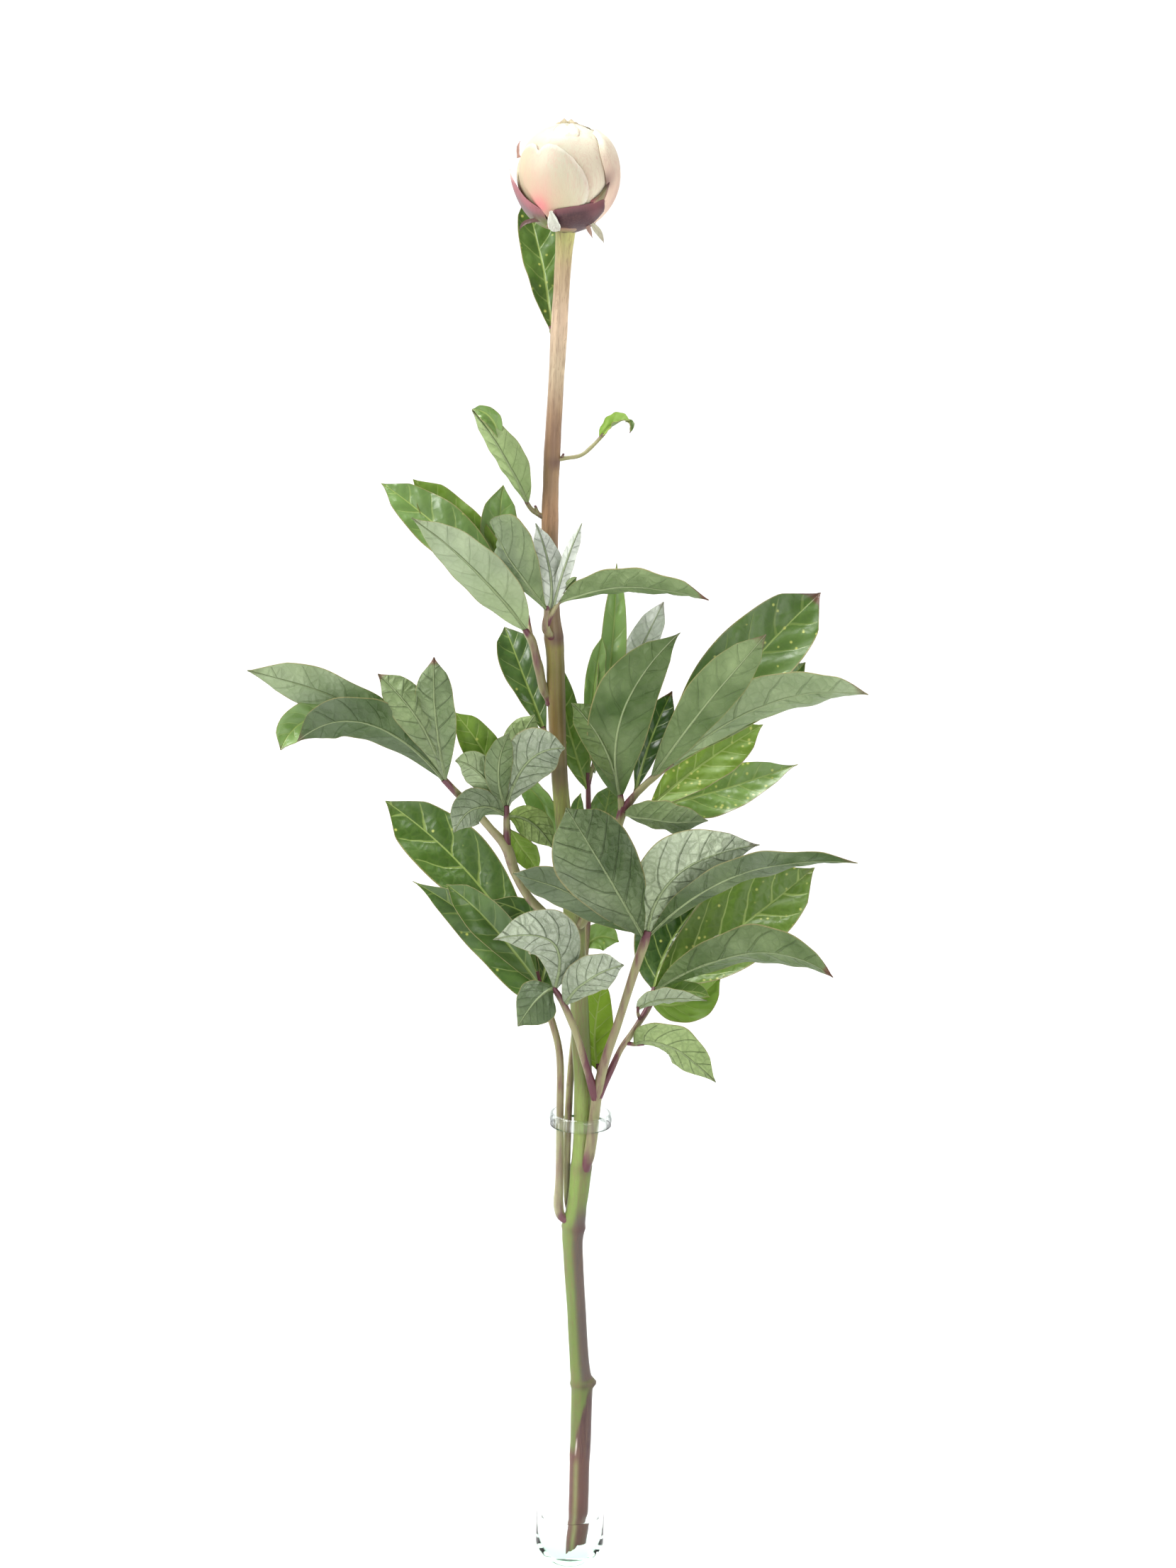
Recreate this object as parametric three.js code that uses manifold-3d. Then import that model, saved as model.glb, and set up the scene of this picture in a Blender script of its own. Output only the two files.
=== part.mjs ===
// A peony stem, one closed flower and its leaves, standing in a narrow glass bud vase.
// Millimetres, +Z up, origin on the table at the middle of the vase's foot.
import * as THREE from "three";
import { mergeVertices } from "three/addons/utils/BufferGeometryUtils.js";
import Module from "manifold-3d";

const wasm = await Module();
wasm.setup();

// Driving dimensions
const vaseHeight = 213;
const vaseFootRadius = 14.8;
const vaseNeckRadius = 12.9;
const rimRadius = 13.4;
const wallThickness = 2;
const floorHeight = 9.5;
const waterLevel = 31;
const clearance = 0.35;
const bladeThickness = 0.7;
const reach = 1.7; // how far a leaflet's middle and tip stand before or behind its base, as a share of the table's y
const budCentre = [-15.6, 0, 610.2];
const budRadius = 19.2;
const budHalfHeight = 20.4;
// Eye point the heights below are sighted from: a point that lies back by y is seen higher up.
const eyeBack = 2280;
const eyeUp = 967;

const colour = {
  glass: "#dfe8e0", water: "#cfdedb", stem: "#8a7d4e", leaf: "#4f7a35",
  under: "#8fa985", petal: "#efe6cf", sepal: "#8d6a62",
};

// ---- points and shells ----

// [x across, h height as sighted from the eye point, y away from it] to a point in space
function at([x, h, y]) {
  const s = 1 + y / eyeBack;
  return new THREE.Vector3(x * s, y, eyeUp + (h - eyeUp) * s);
}

function toManifold(geometry) {
  const g = geometry.clone();
  for (const name of ["normal", "uv"]) if (g.getAttribute(name)) g.deleteAttribute(name);
  const merged = mergeVertices(g, 1e-4);
  const made = new wasm.Manifold(new wasm.Mesh({
    numProp: 3,
    vertProperties: new Float32Array(merged.attributes.position.array),
    triVerts: new Uint32Array(merged.index.array),
  }));
  if (made.volume() < 0) throw new Error("a shell is inside out");
  return made;
}

function fromManifold(solid) {
  const mesh = solid.getMesh();
  const g = new THREE.BufferGeometry();
  g.setAttribute("position", new THREE.BufferAttribute(new Float32Array(mesh.vertProperties), 3));
  g.setIndex(new THREE.BufferAttribute(new Uint32Array(mesh.triVerts), 1));
  return g;
}

// Closed shell between two grids of points (rows x columns), outer face first
function slab(outer, inner) {
  const rows = outer.length;
  const cols = outer[0].length;
  const pos = [];
  const tri = [];
  for (const grid of [outer, inner]) for (const row of grid) for (const p of row) pos.push(p.x, p.y, p.z);
  const id = (side, i, j) => side * rows * cols + i * cols + j;
  const quad = (a, b, c, d) => tri.push(a, b, c, a, c, d);
  for (let i = 0; i < rows - 1; i++)
    for (let j = 0; j < cols - 1; j++) {
      quad(id(0, i, j), id(0, i, j + 1), id(0, i + 1, j + 1), id(0, i + 1, j));
      tri.push(id(1, i, j), id(1, i + 1, j + 1), id(1, i, j + 1));
      tri.push(id(1, i, j), id(1, i + 1, j), id(1, i + 1, j + 1));
    }
  for (let i = 0; i < rows - 1; i++) {
    quad(id(0, i, 0), id(0, i + 1, 0), id(1, i + 1, 0), id(1, i, 0));
    quad(id(0, i + 1, cols - 1), id(0, i, cols - 1), id(1, i, cols - 1), id(1, i + 1, cols - 1));
  }
  for (let j = 0; j < cols - 1; j++) {
    quad(id(0, 0, j + 1), id(0, 0, j), id(1, 0, j), id(1, 0, j + 1));
    quad(id(0, rows - 1, j), id(0, rows - 1, j + 1), id(1, rows - 1, j + 1), id(1, rows - 1, j));
  }
  const g = new THREE.BufferGeometry();
  g.setAttribute("position", new THREE.Float32BufferAttribute(pos, 3));
  g.setIndex(tri);
  return g;
}

// Tube along points with its own radius at each, flat ends; lean raises the first ring on its +X side
function tube(points, radii, sides, steps, lean = 0) {
  const curve = new THREE.CatmullRomCurve3(points, false, "catmullrom", 0.5);
  const n = (points.length - 1) * steps;
  const pos = [];
  const tri = [];
  let side = new THREE.Vector3(1, 0, 0);
  for (let i = 0; i <= n; i++) {
    const u = i / n;
    const p = curve.getPoint(u);
    const dir = curve.getTangent(u).normalize();
    side.addScaledVector(dir, -side.dot(dir));
    if (side.length() < 1e-3) side.set(0, 1, 0).addScaledVector(dir, -dir.y);
    side.normalize();
    const other = new THREE.Vector3().crossVectors(dir, side);
    const k = u * (points.length - 1);
    const a = Math.min(Math.floor(k), points.length - 2);
    const r = radii[a] + (radii[a + 1] - radii[a]) * (k - a);
    for (let j = 0; j < sides; j++) {
      const w = (2 * Math.PI * (j + 0.5)) / sides;
      const q = p.clone().addScaledVector(side, r * Math.cos(w)).addScaledVector(other, r * Math.sin(w));
      if (i === 0) q.z += lean * Math.cos(w);
      pos.push(q.x, q.y, q.z);
    }
  }
  for (let i = 0; i < n; i++)
    for (let j = 0; j < sides; j++) {
      const k = (j + 1) % sides;
      const [a, b, c, d] = [i * sides + j, i * sides + k, (i + 1) * sides + k, (i + 1) * sides + j];
      tri.push(a, b, c, a, c, d);
    }
  for (let j = 1; j < sides - 1; j++) {
    tri.push(0, j + 1, j);
    tri.push(n * sides, n * sides + j, n * sides + j + 1);
  }
  const g = new THREE.BufferGeometry();
  g.setAttribute("position", new THREE.Float32BufferAttribute(pos, 3));
  g.setIndex(tri);
  return g;
}

// ---- leaves ----

// One leaflet: [base, middle, tip, width, place of the widest point, upper side faces,
//               upper side at the tip, left fold, right fold, roll of the margins, wave]
function leaflet([base, middle, tip, width, peak, faces, facesTip, foldLeft, foldRight, roll, wave]) {
  const deep = (p) => at([p[0], p[1], base[2] + (p[2] - base[2]) * reach]);
  const [b, m, t] = [at(base), deep(middle), deep(tip)];
  const c = m.clone().multiplyScalar(2).addScaledVector(b, -0.5).addScaledVector(t, -0.5);
  const up0 = new THREE.Vector3(...faces).normalize();
  const up1 = new THREE.Vector3(...(facesTip || faces)).normalize();
  const long = b.distanceTo(m) + m.distanceTo(t);
  const stations = long < 34 ? [0, 0.12, 0.34, 0.6, 0.84, 1]
    : long < 62 ? [0, 0.1, 0.26, 0.46, 0.66, 0.84, 1]
      : [0, 0.08, 0.2, 0.34, 0.5, 0.66, 0.8, 0.92, 1];
  const lanes = long < 58 ? [-1, 0, 1] : [-1, -0.55, 0, 0.55, 1];
  const top = [];
  const bottom = [];
  for (const s of stations) {
    const p = new THREE.Vector3().addScaledVector(b, (1 - s) ** 2).addScaledVector(c, 2 * s * (1 - s)).addScaledVector(t, s * s);
    const dir = new THREE.Vector3().addScaledVector(c.clone().sub(b), 1 - s).addScaledVector(t.clone().sub(c), s).normalize();
    const up = up0.clone().lerp(up1, s).normalize();
    const side = new THREE.Vector3().crossVectors(dir, up).normalize();
    const normal = new THREE.Vector3().crossVectors(side, dir);
    const shape = s <= 0 || s >= 1 ? 0 : (s / peak) ** (1.7 * peak) * ((1 - s) / (1 - peak)) ** (1.7 * (1 - peak));
    const half = Math.max(0.45, (width / 2) * shape);
    const rowTop = [];
    const rowBottom = [];
    for (const v of lanes) {
      const sign = v < 0 ? -1 : 1;
      const fold = ((v < 0 ? foldLeft : foldRight) * Math.PI) / 180;
      const turn = (roll * Math.PI) / 180;
      let across = 0;
      let rise = 0;
      for (let i = 0; i < 8; i++) {
        const a = fold + turn * Math.abs(v) * ((i + 0.5) / 8);
        across += (Math.cos(a) * Math.abs(v) * half) / 8;
        rise += (Math.sin(a) * Math.abs(v) * half) / 8;
      }
      rise += wave * v * v * Math.sin(2 * Math.PI * (2.2 * s + (v < 0 ? 0.35 : 0))) * shape;
      const a = v === 0 ? 0 : fold + turn * Math.abs(v);
      const q = p.clone().addScaledVector(side, sign * across).addScaledVector(normal, rise);
      const face = normal.clone().multiplyScalar(Math.cos(a)).addScaledVector(side, -sign * Math.sin(a));
      rowTop.push(q.clone().addScaledVector(face, bladeThickness / 2));
      rowBottom.push(q.clone().addScaledVector(face, -bladeThickness / 2));
    }
    top.push(rowTop);
    bottom.push(rowBottom);
  }
  return slab(top, bottom);
}

// Stalk of a leaf: each point is [x, h, y, radius]
function stalk(points) {
  return tube(points.map(at), points.map((p) => p[3]), 5, 1);
}

const front = [0, 1, 0.25];
const back = [0, -1, 0.4];

const leaves = {
  leaf_bract: {
    stalks: [[[-17, 542, 1, 1.2], [-19.4, 543.5, 3.5, 1.1], [-20.8, 548, 5.5, 0.8]]],
    blades: [
      [[-20.4, 545.4, 4.5], [-24.4, 571, 13], [-32.4, 601, 24], 18, 0.6, [0.25, -1, 0.3], null, 12, 8, 10, 0.6],
    ],
  },
  leaf_small_right: {
    stalks: [[[-17.5, 493, 0, 1.1], [-13, 493.6, -0.5, 0.9], [-7, 495, -1, 0.8], [-2.4, 499, -1.5, 0.8], [2, 504, -2, 0.7]],
      [[-15, 493.4, -0.5, 0.7], [-14.2, 495.4, -0.8, 0.4]]],
    blades: [
      [[0.4, 501.5, -1.8], [6, 508.4, -2.6], [12.6, 509.8, -3.4], 8.5, 0.5, [-0.4, -0.6, 0.7], [0, -0.4, 0.9], 30, 34, 10, 0.2],
      [[11, 509.9, -3.2], [12.8, 508.2, -4.2], [12.6, 504.6, -4.8], 3, 0.4, [0.6, -0.8, 0], null, 20, 20, 30, 0],
    ],
  },
  leaf_small_left: {
    stalks: [[[-19.5, 467.5, 0, 1.2], [-23.4, 469.5, -1, 1.1], [-27, 472, -2, 1], [-29.6, 476, -3, 0.8]],
      [[-24, 469.6, -1, 0.9], [-25.4, 473.4, -1.4, 0.5]]],
    blades: [
      [[-28.6, 473.5, -2.6], [-37.4, 491.6, -7], [-52, 512.5, -5], 15.5, 0.55, [0.2, 1, 0.3], [0.5, 0.8, -0.3], 18, 25, 20, 0.4],
      [[-40.8, 500.8, -8.6], [-44.6, 509.6, -8.8], [-52, 512.8, -7.6], 7.5, 0.5, [0.3, -1, 0.4], null, 10, 14, 20, 0],
    ],
  },
  leaf_top_front: {
    stalks: [[[-17, 418, -2, 1.6], [-19.6, 421.5, -6, 1.8], [-19.4, 427, -8, 1.5], [-19, 432, -9, 1.1]],
      [[-19.4, 423, -7, 1.1], [-17.4, 428, -9.4, 1], [-15.4, 432, -10.6, 0.9], [-12, 434.8, -12, 0.7]]],
    blades: [
      [[-19.2, 429, -8.6], [-34, 449, -14.5], [-43.6, 466, -10], 28, 0.72, [0.1, 1, 0.2], [0.1, 0.7, 0.7], 10, 26, 10, 0.5],
      [[-18.6, 430, -9], [-18.6, 446, -11.6], [-25, 466, -8.6], 13, 0.5, [-0.3, 1, 0.2], null, 14, 14, 10, 0.4],
      [[-17, 430, -9.6], [-13, 447, -15], [-6, 466.5, -18], 7.5, 0.5, [0.4, 1, 0.2], null, 20, 40, 0, 0.2],
      [[-14.8, 432.5, -10.8], [13, 440, -23], [47, 435.6, -32], 22, 0.56, [0, 0.75, 0.66], [0.2, 0.6, 0.75], 16, 10, 16, 0.6],
      [[-13.4, 437, -13], [-10.6, 441, -15.4], [-7.6, 443.8, -17], 2.8, 0.6, [0.3, 1, 0.2], null, 10, 10, 0, 0],
    ],
  },
  leaf_top_left: {
    stalks: [[[-16.6, 390, 0, 1.8], [-20, 396, -1.2, 1.9], [-22.4, 405, -2.6, 1.8], [-25.2, 416, -4, 1.8], [-28.4, 421.4, -5, 1.2]],
      [[-24.6, 413.6, -3.4, 1.1], [-26.4, 421, 0, 1], [-27.4, 427, 4.5, 0.8]],
      [[-24, 413, -3, 1.2], [-27, 418, 1, 1.1], [-31, 425.5, 4, 0.8]]],
    blades: [
      [[-28, 420.6, -5], [-48.6, 444.6, -16], [-76, 467, -20], 21.5, 0.46, [0.15, 1, 0.2], [0, 0.9, 0.4], 12, 9, 8, 0.6],
      [[-29.5, 422, 3], [-58.5, 457, 9], [-88.5, 481, 18], 22, 0.55, [0.2, -1, 0.4], [0.1, -0.9, 0.5], 13, 12, 12, 0.7],
      [[-27.4, 426.2, 4], [-51, 455.5, 13], [-75.5, 483, 18], 22, 0.6, [0.3, -1, 0.3], null, 10, 16, 12, 0.7],
      [[-27.2, 425.6, 3.6], [-38, 452, 12], [-38.6, 481.6, 16], 16.5, 0.66, [0.1, -1, 0.2], null, 12, 12, 10, 0.6],
    ],
  },
  leaf_behind_left: {
    stalks: [[[-14, 372, 3, 1.3], [-17, 374, 6, 1.2], [-20, 380, 8, 0.9]]],
    blades: [
      [[-18.6, 376.5, 7.2], [-27.8, 400, 12], [-36.8, 422, 19], 17.5, 0.64, [0.2, -1, 0.2], null, 10, 14, 12, 0.6],
    ],
  },
  leaf_right_back: {
    stalks: [[[-1.5, 166, 1.6, 1.4], [-4.6, 172, 2.6, 1.4], [-5.4, 186, 2.6, 1.5], [-5.4, 206, 2.8, 1.6], [-4.6, 232, 7.4, 1.6],
      [-2.4, 258, 12.6, 1.5], [0.2, 284, 13.4, 1.4], [0.8, 310, 12.4, 1.3], [0, 338, 11.2, 1.2], [-0.8, 361, 11.4, 1.1]],
    [[-0.4, 356, 10.8, 0.9], [1.6, 366, 12.6, 0.8]],
    [[0.8, 320, 12, 0.8], [2.6, 330, 12.6, 0.8]], [[0.6, 320, 12, 0.8], [-3, 328, 12.8, 0.8]]],
    blades: [
      [[-1, 354, 10.6], [-9.4, 380, 10.6], [-16.5, 411, 9], 14, 0.5, [0.25, -1, 0.15], null, 18, 12, 10, 0.5],
      [[-0.6, 360, 11], [0.6, 394, 17], [3.6, 419, 19], 8.6, 0.6, [0, -1, 0.2], null, 16, 16, 10, 0.4],
      [[1, 362, 11.6], [7, 405, 20], [8.7, 450, 27], 12, 0.55, [0.1, -1, 0.2], null, 24, 10, 8, 0.4],
      [[1.4, 361, 11.4], [14.6, 401, 24], [28.4, 434.4, 26], 13.5, 0.66, [0, 1, 0.2], null, 12, 12, 10, 0.5],
      [[2.2, 328, 12.5], [6.5, 343, 14], [8.6, 355.5, 15], 13, 0.62, [0, -1, 0.3], null, 12, 12, 10, 0.4],
      [[-2.4, 326.8, 12.6], [-5, 340, 13.2], [-3.6, 352, 13.8], 7, 0.5, [0, -1, 0.3], null, 14, 14, 8, 0.2],
      [[0.2, 285, 13.4], [6, 290, 14], [14, 288, 14.2], 12.5, 0.5, [0, -1, 0.3], null, 10, 12, 10, 0.3],
    ],
  },
  leaf_right: {
    stalks: [[[-5, 293, -1, 1.9], [-0.6, 298, -3.4, 2], [5, 315, -5, 1.8], [11.5, 336, -7, 1.9], [14.6, 347, -8, 2.1]],
      [[13.8, 344, -7.8, 1.7], [12.8, 352, -9, 1.2]],
      [[14, 345, -8, 1.8], [20, 353, -9, 1.5], [26, 359, -9.4, 1.4], [34, 366, -10, 1]],
      [[20, 353, -9, 1.1], [26, 359.6, -4, 1.2], [35, 366.5, 1, 1.1], [42, 370, 3, 0.8]],
      [[14, 344, -7.6, 1.3], [19, 345.5, 0, 1.2], [25, 346.5, 6, 1], [32, 350, 9, 0.8]]],
    blades: [
      [[12.9, 350, -8.6], [13, 387, -18], [35.6, 421.6, -18], 27, 0.48, [0, 1, 0.2], null, 10, 12, 8, 0.6],
      [[12.6, 352, -9], [4.6, 374, -15], [-8.4, 390.4, -13], 15, 0.6, [-0.2, 1, 0.2], null, 8, 14, 8, 0.4],
      [[25, 358, -8.4], [45.6, 389, -20], [71, 421.8, -26], 21, 0.6, [0.1, 1, 0.1], [0, 0.9, 0.4], 12, 14, 16, 0.6],
      [[26, 358.6, -5], [59, 402, 5], [92.8, 440, 17], 34, 0.6, [-0.2, -1, 0.3], [0, -0.9, 0.4], 13, 12, 9, 0.9],
      [[33, 365, -9.8], [73, 392, -18], [114, 397.4, -28], 25, 0.58, [0, 0.9, 0.5], [0.1, 0.6, 0.8], 10, 22, 14, 0.6],
      [[40, 369, 2.6], [70, 392.6, 10], [87.6, 410.4, 13], 13, 0.6, [-0.2, -1, 0.3], null, 12, 12, 8, 0.4],
      [[19, 353, -8], [24.6, 375, -5], [33, 396.6, -4], 12, 0.62, [0, -1, 0.2], null, 16, 16, 8, 0.3],
      [[14.4, 343.5, -8.4], [31, 341, -15.5], [49.6, 341.6, -18], 18.5, 0.5, [0, 0.9, 0.5], null, 12, 12, 10, 0.5],
      [[25, 346.5, 5.6], [47, 366, 12.4], [71, 383.4, 15], 21, 0.55, [-0.2, -1, 0.4], null, 12, 12, 10, 0.6],
      [[25, 345.8, 5.6], [52, 354, 17.4], [86, 366.8, 25], 23.5, 0.42, [-0.1, -1, 0.6], null, 12, 14, 10, 0.7],
    ],
  },
  leaf_low_right: {
    stalks: [[[1.8, 187, -1, 1.6], [3.7, 193, -4.6, 2.4], [5.2, 206, -5, 2.2], [6.8, 222, -7.8, 2.3], [9.8, 237, -12, 1.9], [14.4, 252, -14, 1.8],
      [20.4, 274, -17, 1.8], [24.6, 288, -19, 2], [26, 293.4, -19.6, 1.6]],
    [[6.2, 219, -7.2, 1.9], [1.4, 234, -12, 1.6], [-2.8, 247, -14.4, 1.5], [-8.4, 260, -16.6, 1.5], [-13, 267.4, -17.6, 1.1]],
    [[7, 220, -7.4, 1.8], [11.8, 231, -7.6, 1.4], [16, 241, -6.4, 1.3], [20.4, 248, -5, 1.3], [27, 259.6, -1, 1.4], [29.6, 268.4, 3, 1.3]],
    [[18, 244, -5.8, 1], [21.6, 243.4, -7, 0.9], [25.6, 243.6, -8.6, 0.7]],
    [[24, 254, -2.9, 0.9], [22.8, 257, -5, 0.7], [22.8, 260, -7, 0.6]],
    [[6.8, 220.4, -7.4, 1.4], [7.6, 227, -4, 1.1], [6.6, 234, 1.6, 0.9]]],
    blades: [
      [[24, 290.6, -19.4], [7, 319, -31], [-9.6, 345.6, -33], 35, 0.56, [-0.3, 1, 0.2], null, 8, 9, 12, 0.8],
      [[22, 292, -19.6], [-4, 307, -28], [-31, 316.6, -31], 20, 0.56, [-0.2, 1, 0.1], [0, 0.8, 0.6], 10, 4, 6, 0.6],
      [[25.6, 291.4, -19.4], [38.4, 318.6, -27], [71.4, 331.8, -30], 30, 0.46, [0.1, 1, 0.2], null, 11, 9, 10, 0.7],
      [[27, 291.4, -19], [64, 318.6, -36], [112.4, 325, -46], 17, 0.55, [0, 0.9, 0.45], [0.1, 0.6, 0.8], 14, 14, 14, 0.8],
      [[-12.4, 266.6, -17.2], [-14.4, 287.6, -26], [-38.6, 287.6, -27], 24, 0.5, [-0.1, 1, 0.1], null, 10, 12, 14, 0.5],
      [[-8, 259.6, -16.6], [1.4, 271, -24], [16.4, 278, -26], 18, 0.54, [0.1, 1, 0.2], null, 10, 12, 10, 0.4],
      [[-12.8, 267, -17.2], [-19.6, 262, -20.4], [-27.4, 250, -18], 20, 0.54, [0.3, 0.9, -0.2], null, 12, 12, 8, 0.4],
      [[29.4, 267.6, 2.6], [61, 293, 13], [94.6, 322.6, 21], 36, 0.56, [-0.3, -1, 0.4], null, 12, 10, 8, 0.9],
      [[29.2, 267.8, 2.8], [38, 293, 15.6], [57, 317, 21], 36, 0.5, [-0.2, -1, 0.3], null, 10, 12, 10, 0.9],
      [[29.6, 267, 2], [69.6, 284.8, -11], [104, 275, -22], 25, 0.52, [-0.1, 0.9, 0.5], [0.3, 0.8, 0.5], 16, 12, 12, 0.8],
      [[22.6, 258.8, -6.2], [34, 263.6, -9.6], [51.6, 263.4, -11.6], 10, 0.42, [0, 0.9, 0.5], null, 14, 14, 10, 0.2],
      [[28.4, 262.6, 0.8], [41.6, 267, 0.6], [52.6, 265, -1], 9, 0.5, [0, -0.8, 0.6], null, 16, 16, 10, 0.3],
      [[22, 243, -7.4], [36, 243, -15], [56.4, 227.6, -18], 21.5, 0.5, [0, 0.9, 0.4], null, 12, 12, 12, 0.5],
      [[6.8, 232, 0.4], [5, 250, 4.4], [8.4, 273, 6.4], 16, 0.5, [0, -1, 0.2], null, 10, 14, 8, 0.4],
      [[28.4, 262.4, 1.4], [42, 262, 10], [57, 274, 13], 19.5, 0.56, [-0.2, -1, 0.4], null, 12, 12, 10, 0.6],
    ],
  },
  leaf_low_left: {
    stalks: [[[-2, 163.4, -1, 1.4], [-7, 166.4, -1.2, 2], [-8.5, 172, -1, 2.1], [-8.4, 179, -1, 1.8], [-8.4, 190, -0.8, 1.7],
      [-8.8, 212, -0.8, 1.5], [-9.4, 236, 0.6, 1.6], [-12.4, 250, 2.6, 1.5], [-17, 262, 5, 1.6], [-20.4, 274, 8, 1.3]]],
    blades: [
      [[-19.4, 271, 7], [-46.4, 312.6, 20], [-84.6, 346.4, 31], 29, 0.63, [0.3, -1, 0.3], null, 12, 12, 9, 0.9],
      [[-15.6, 259, 4.4], [-37, 287.2, 12], [-72.6, 312, 14], 24.5, 0.4, [0.2, -1, 0.3], null, 10, 12, 9, 0.8],
      [[-19, 268, 6], [-39, 293.4, 3], [-58.6, 311, 3], 16.5, 0.56, [0.3, -1, 0.2], null, 10, 14, 8, 0.5],
      [[-18.6, 268, 6.4], [-19, 292.6, 13], [-40, 304.4, 14], 14, 0.6, [0.2, -1, 0.3], null, 10, 12, 8, 0.5],
    ],
  },
  leaf_left: {
    stalks: [[[-4.5, 288, -1, 1.9], [-10, 292.6, -4.6, 2], [-18, 300, -6, 1.9], [-25, 307.6, -7, 1.9], [-30.6, 318.4, -8, 2.2], [-34, 328, -10, 2.3],
      [-40.6, 335.6, -12, 1.7], [-47.6, 343.6, -14, 1.7], [-55, 350.6, -16, 1.6], [-60.6, 356.4, -17, 1.4]],
    [[-33.6, 326.6, -9.8, 1.7], [-34.2, 338, -12, 1.3], [-34.4, 346, -13.4, 1.1]],
    [[-33, 325.4, -9.4, 1.1], [-33.4, 336, -5, 1], [-34.4, 347, -3.4, 1], [-36.6, 353.6, -3, 0.8]],
    [[-34.2, 345, -3.6, 0.9], [-32.4, 352, -2, 0.9], [-30, 356.4, -0.6, 0.8]]],
    blades: [
      [[-60.1, 355.7, -16.7], [-94, 383.8, -24], [-142.6, 400.6, -30], 22, 0.62, [0.1, 1, 0.3], [0, 0.9, 0.4], 10, 12, 8, 0.8],
      [[-60.6, 355.8, -17.2], [-92.4, 379.4, -32], [-121.6, 371, -35], 21, 0.56, [0, 1, 0.1], [0, 1, 0.3], 10, 14, 12, 0.5],
      [[-96, 379.4, -31.6], [-116.6, 380.6, -30], [-128.4, 367, -33.4], 15.5, 0.58, [-0.1, -1, 0.4], null, 10, 14, 14, 0.3],
      [[-59.8, 355.6, -17.2], [-64.4, 382, -30], [-65.6, 408.4, -29], 17, 0.56, [0.1, 1, 0.1], null, 12, 10, 8, 0.5],
      [[-60.9, 357.6, -17.8], [-71.4, 381, -30], [-88.6, 400.6, -27.6], 16, 0.62, [-0.2, 1, 0.1], null, 8, 12, 8, 0.4],
      [[-34.4, 345.4, -13], [-25.4, 365, -21], [-10.6, 371, -24], 22.5, 0.55, [0.2, 1, 0.2], null, 12, 10, 12, 0.5],
      [[-34.6, 345, -13], [-38, 360.4, -19.6], [-34, 377, -21], 12, 0.58, [-0.2, 1, 0.1], null, 10, 14, 6, 0.3],
      [[-34.8, 344, -13], [-45.4, 359, -17], [-56, 364.4, -16], 14, 0.56, [-0.2, 1, 0.2], null, 10, 10, 8, 0.3],
      [[-34.6, 341.6, -12.8], [-46.6, 344.6, -17.6], [-56, 333.6, -18], 16.5, 0.54, [0, 1, 0.1], null, 12, 12, 8, 0.4],
      [[-34, 343, -12.6], [-31.4, 367, -13], [-23.4, 385, -12], 15, 0.6, [0.1, 1, 0.1], null, 8, 10, 8, 0.4],
      [[-36, 352, -3], [-44.4, 368.6, -3], [-56.4, 385, -1], 16, 0.56, [0.2, -1, 0.3], null, 12, 12, 10, 0.5],
      [[-30.6, 355.6, -0.8], [-21, 349.6, 2.6], [-13.4, 330, 5], 12, 0.5, [-0.4, -1, 0.1], null, 14, 14, 8, 0.3],
      [[-33.6, 341, -4.4], [-23.4, 338.4, -4.6], [-14.6, 328, -4.2], 14.5, 0.5, [-0.2, 1, 0.1], null, 10, 10, 8, 0.3],
      [[-33.4, 336, -5], [-27.6, 328, -1], [-20.4, 318, 1], 12, 0.54, [-0.3, -1, 0.1], null, 10, 10, 8, 0.3],
    ],
  },
};

// ---- stem ----

// [x, h, y, radius] from the cut end up to the flower
const stemLine = [
  [2.2, 17.8, 4, 3.7], [3, 27, 3.9, 3.8], [3.4, 34, 3.8, 4.3], [3.4, 52, 4.2, 4.3], [3.4, 84, 3, 4.4], [3.2, 92, 2.7, 4.6], [1.9, 104, 2.2, 4.1],
  [0.2, 126, 1.2, 4], [-1.9, 152, 0, 4.2], [-1.8, 162, 0, 4.9], [-0.6, 172, 0, 4.2], [0.6, 186, 0, 4.5], [1.1, 200, 0, 4], [0.8, 224, 0, 3.9],
  [-0.6, 242, 0, 3.9], [-2.2, 265, 0, 3.8], [-4, 286, 0, 3.9], [-4.9, 295, 0, 4.4], [-6.4, 308, 0, 3.7], [-8.4, 324, 0, 3.5], [-11.7, 350, 0, 3.4],
  [-13.4, 370, 0, 3.4], [-14.9, 396, 0, 3.8], [-15.6, 410, 0, 3.7], [-16.4, 418, 0, 4.1], [-17.4, 428, 0, 3.3], [-18.6, 448, 0, 3.2],
  [-19.2, 468, 0, 3.5], [-19.2, 482, 0, 3.2], [-19, 494, 0, 3.4], [-18.6, 507, 0, 3.2], [-17.9, 528, 0, 3.1], [-17.4, 544, 0, 3.4],
  [-16.8, 562, 0, 3.2], [-16.2, 577, 0, 3.4], [-15.8, 585, 0, 3.9],
];

function stemSolid(extra) {
  const line = stemLine.map((p) => [...p]);
  if (extra) {
    line[0][1] -= 3;
    line[line.length - 1][1] += 3;
  }
  return toManifold(tube(line.map(at), line.map((p) => p[3] + extra), 10, 1, 5));
}

// ---- flower ----

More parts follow.
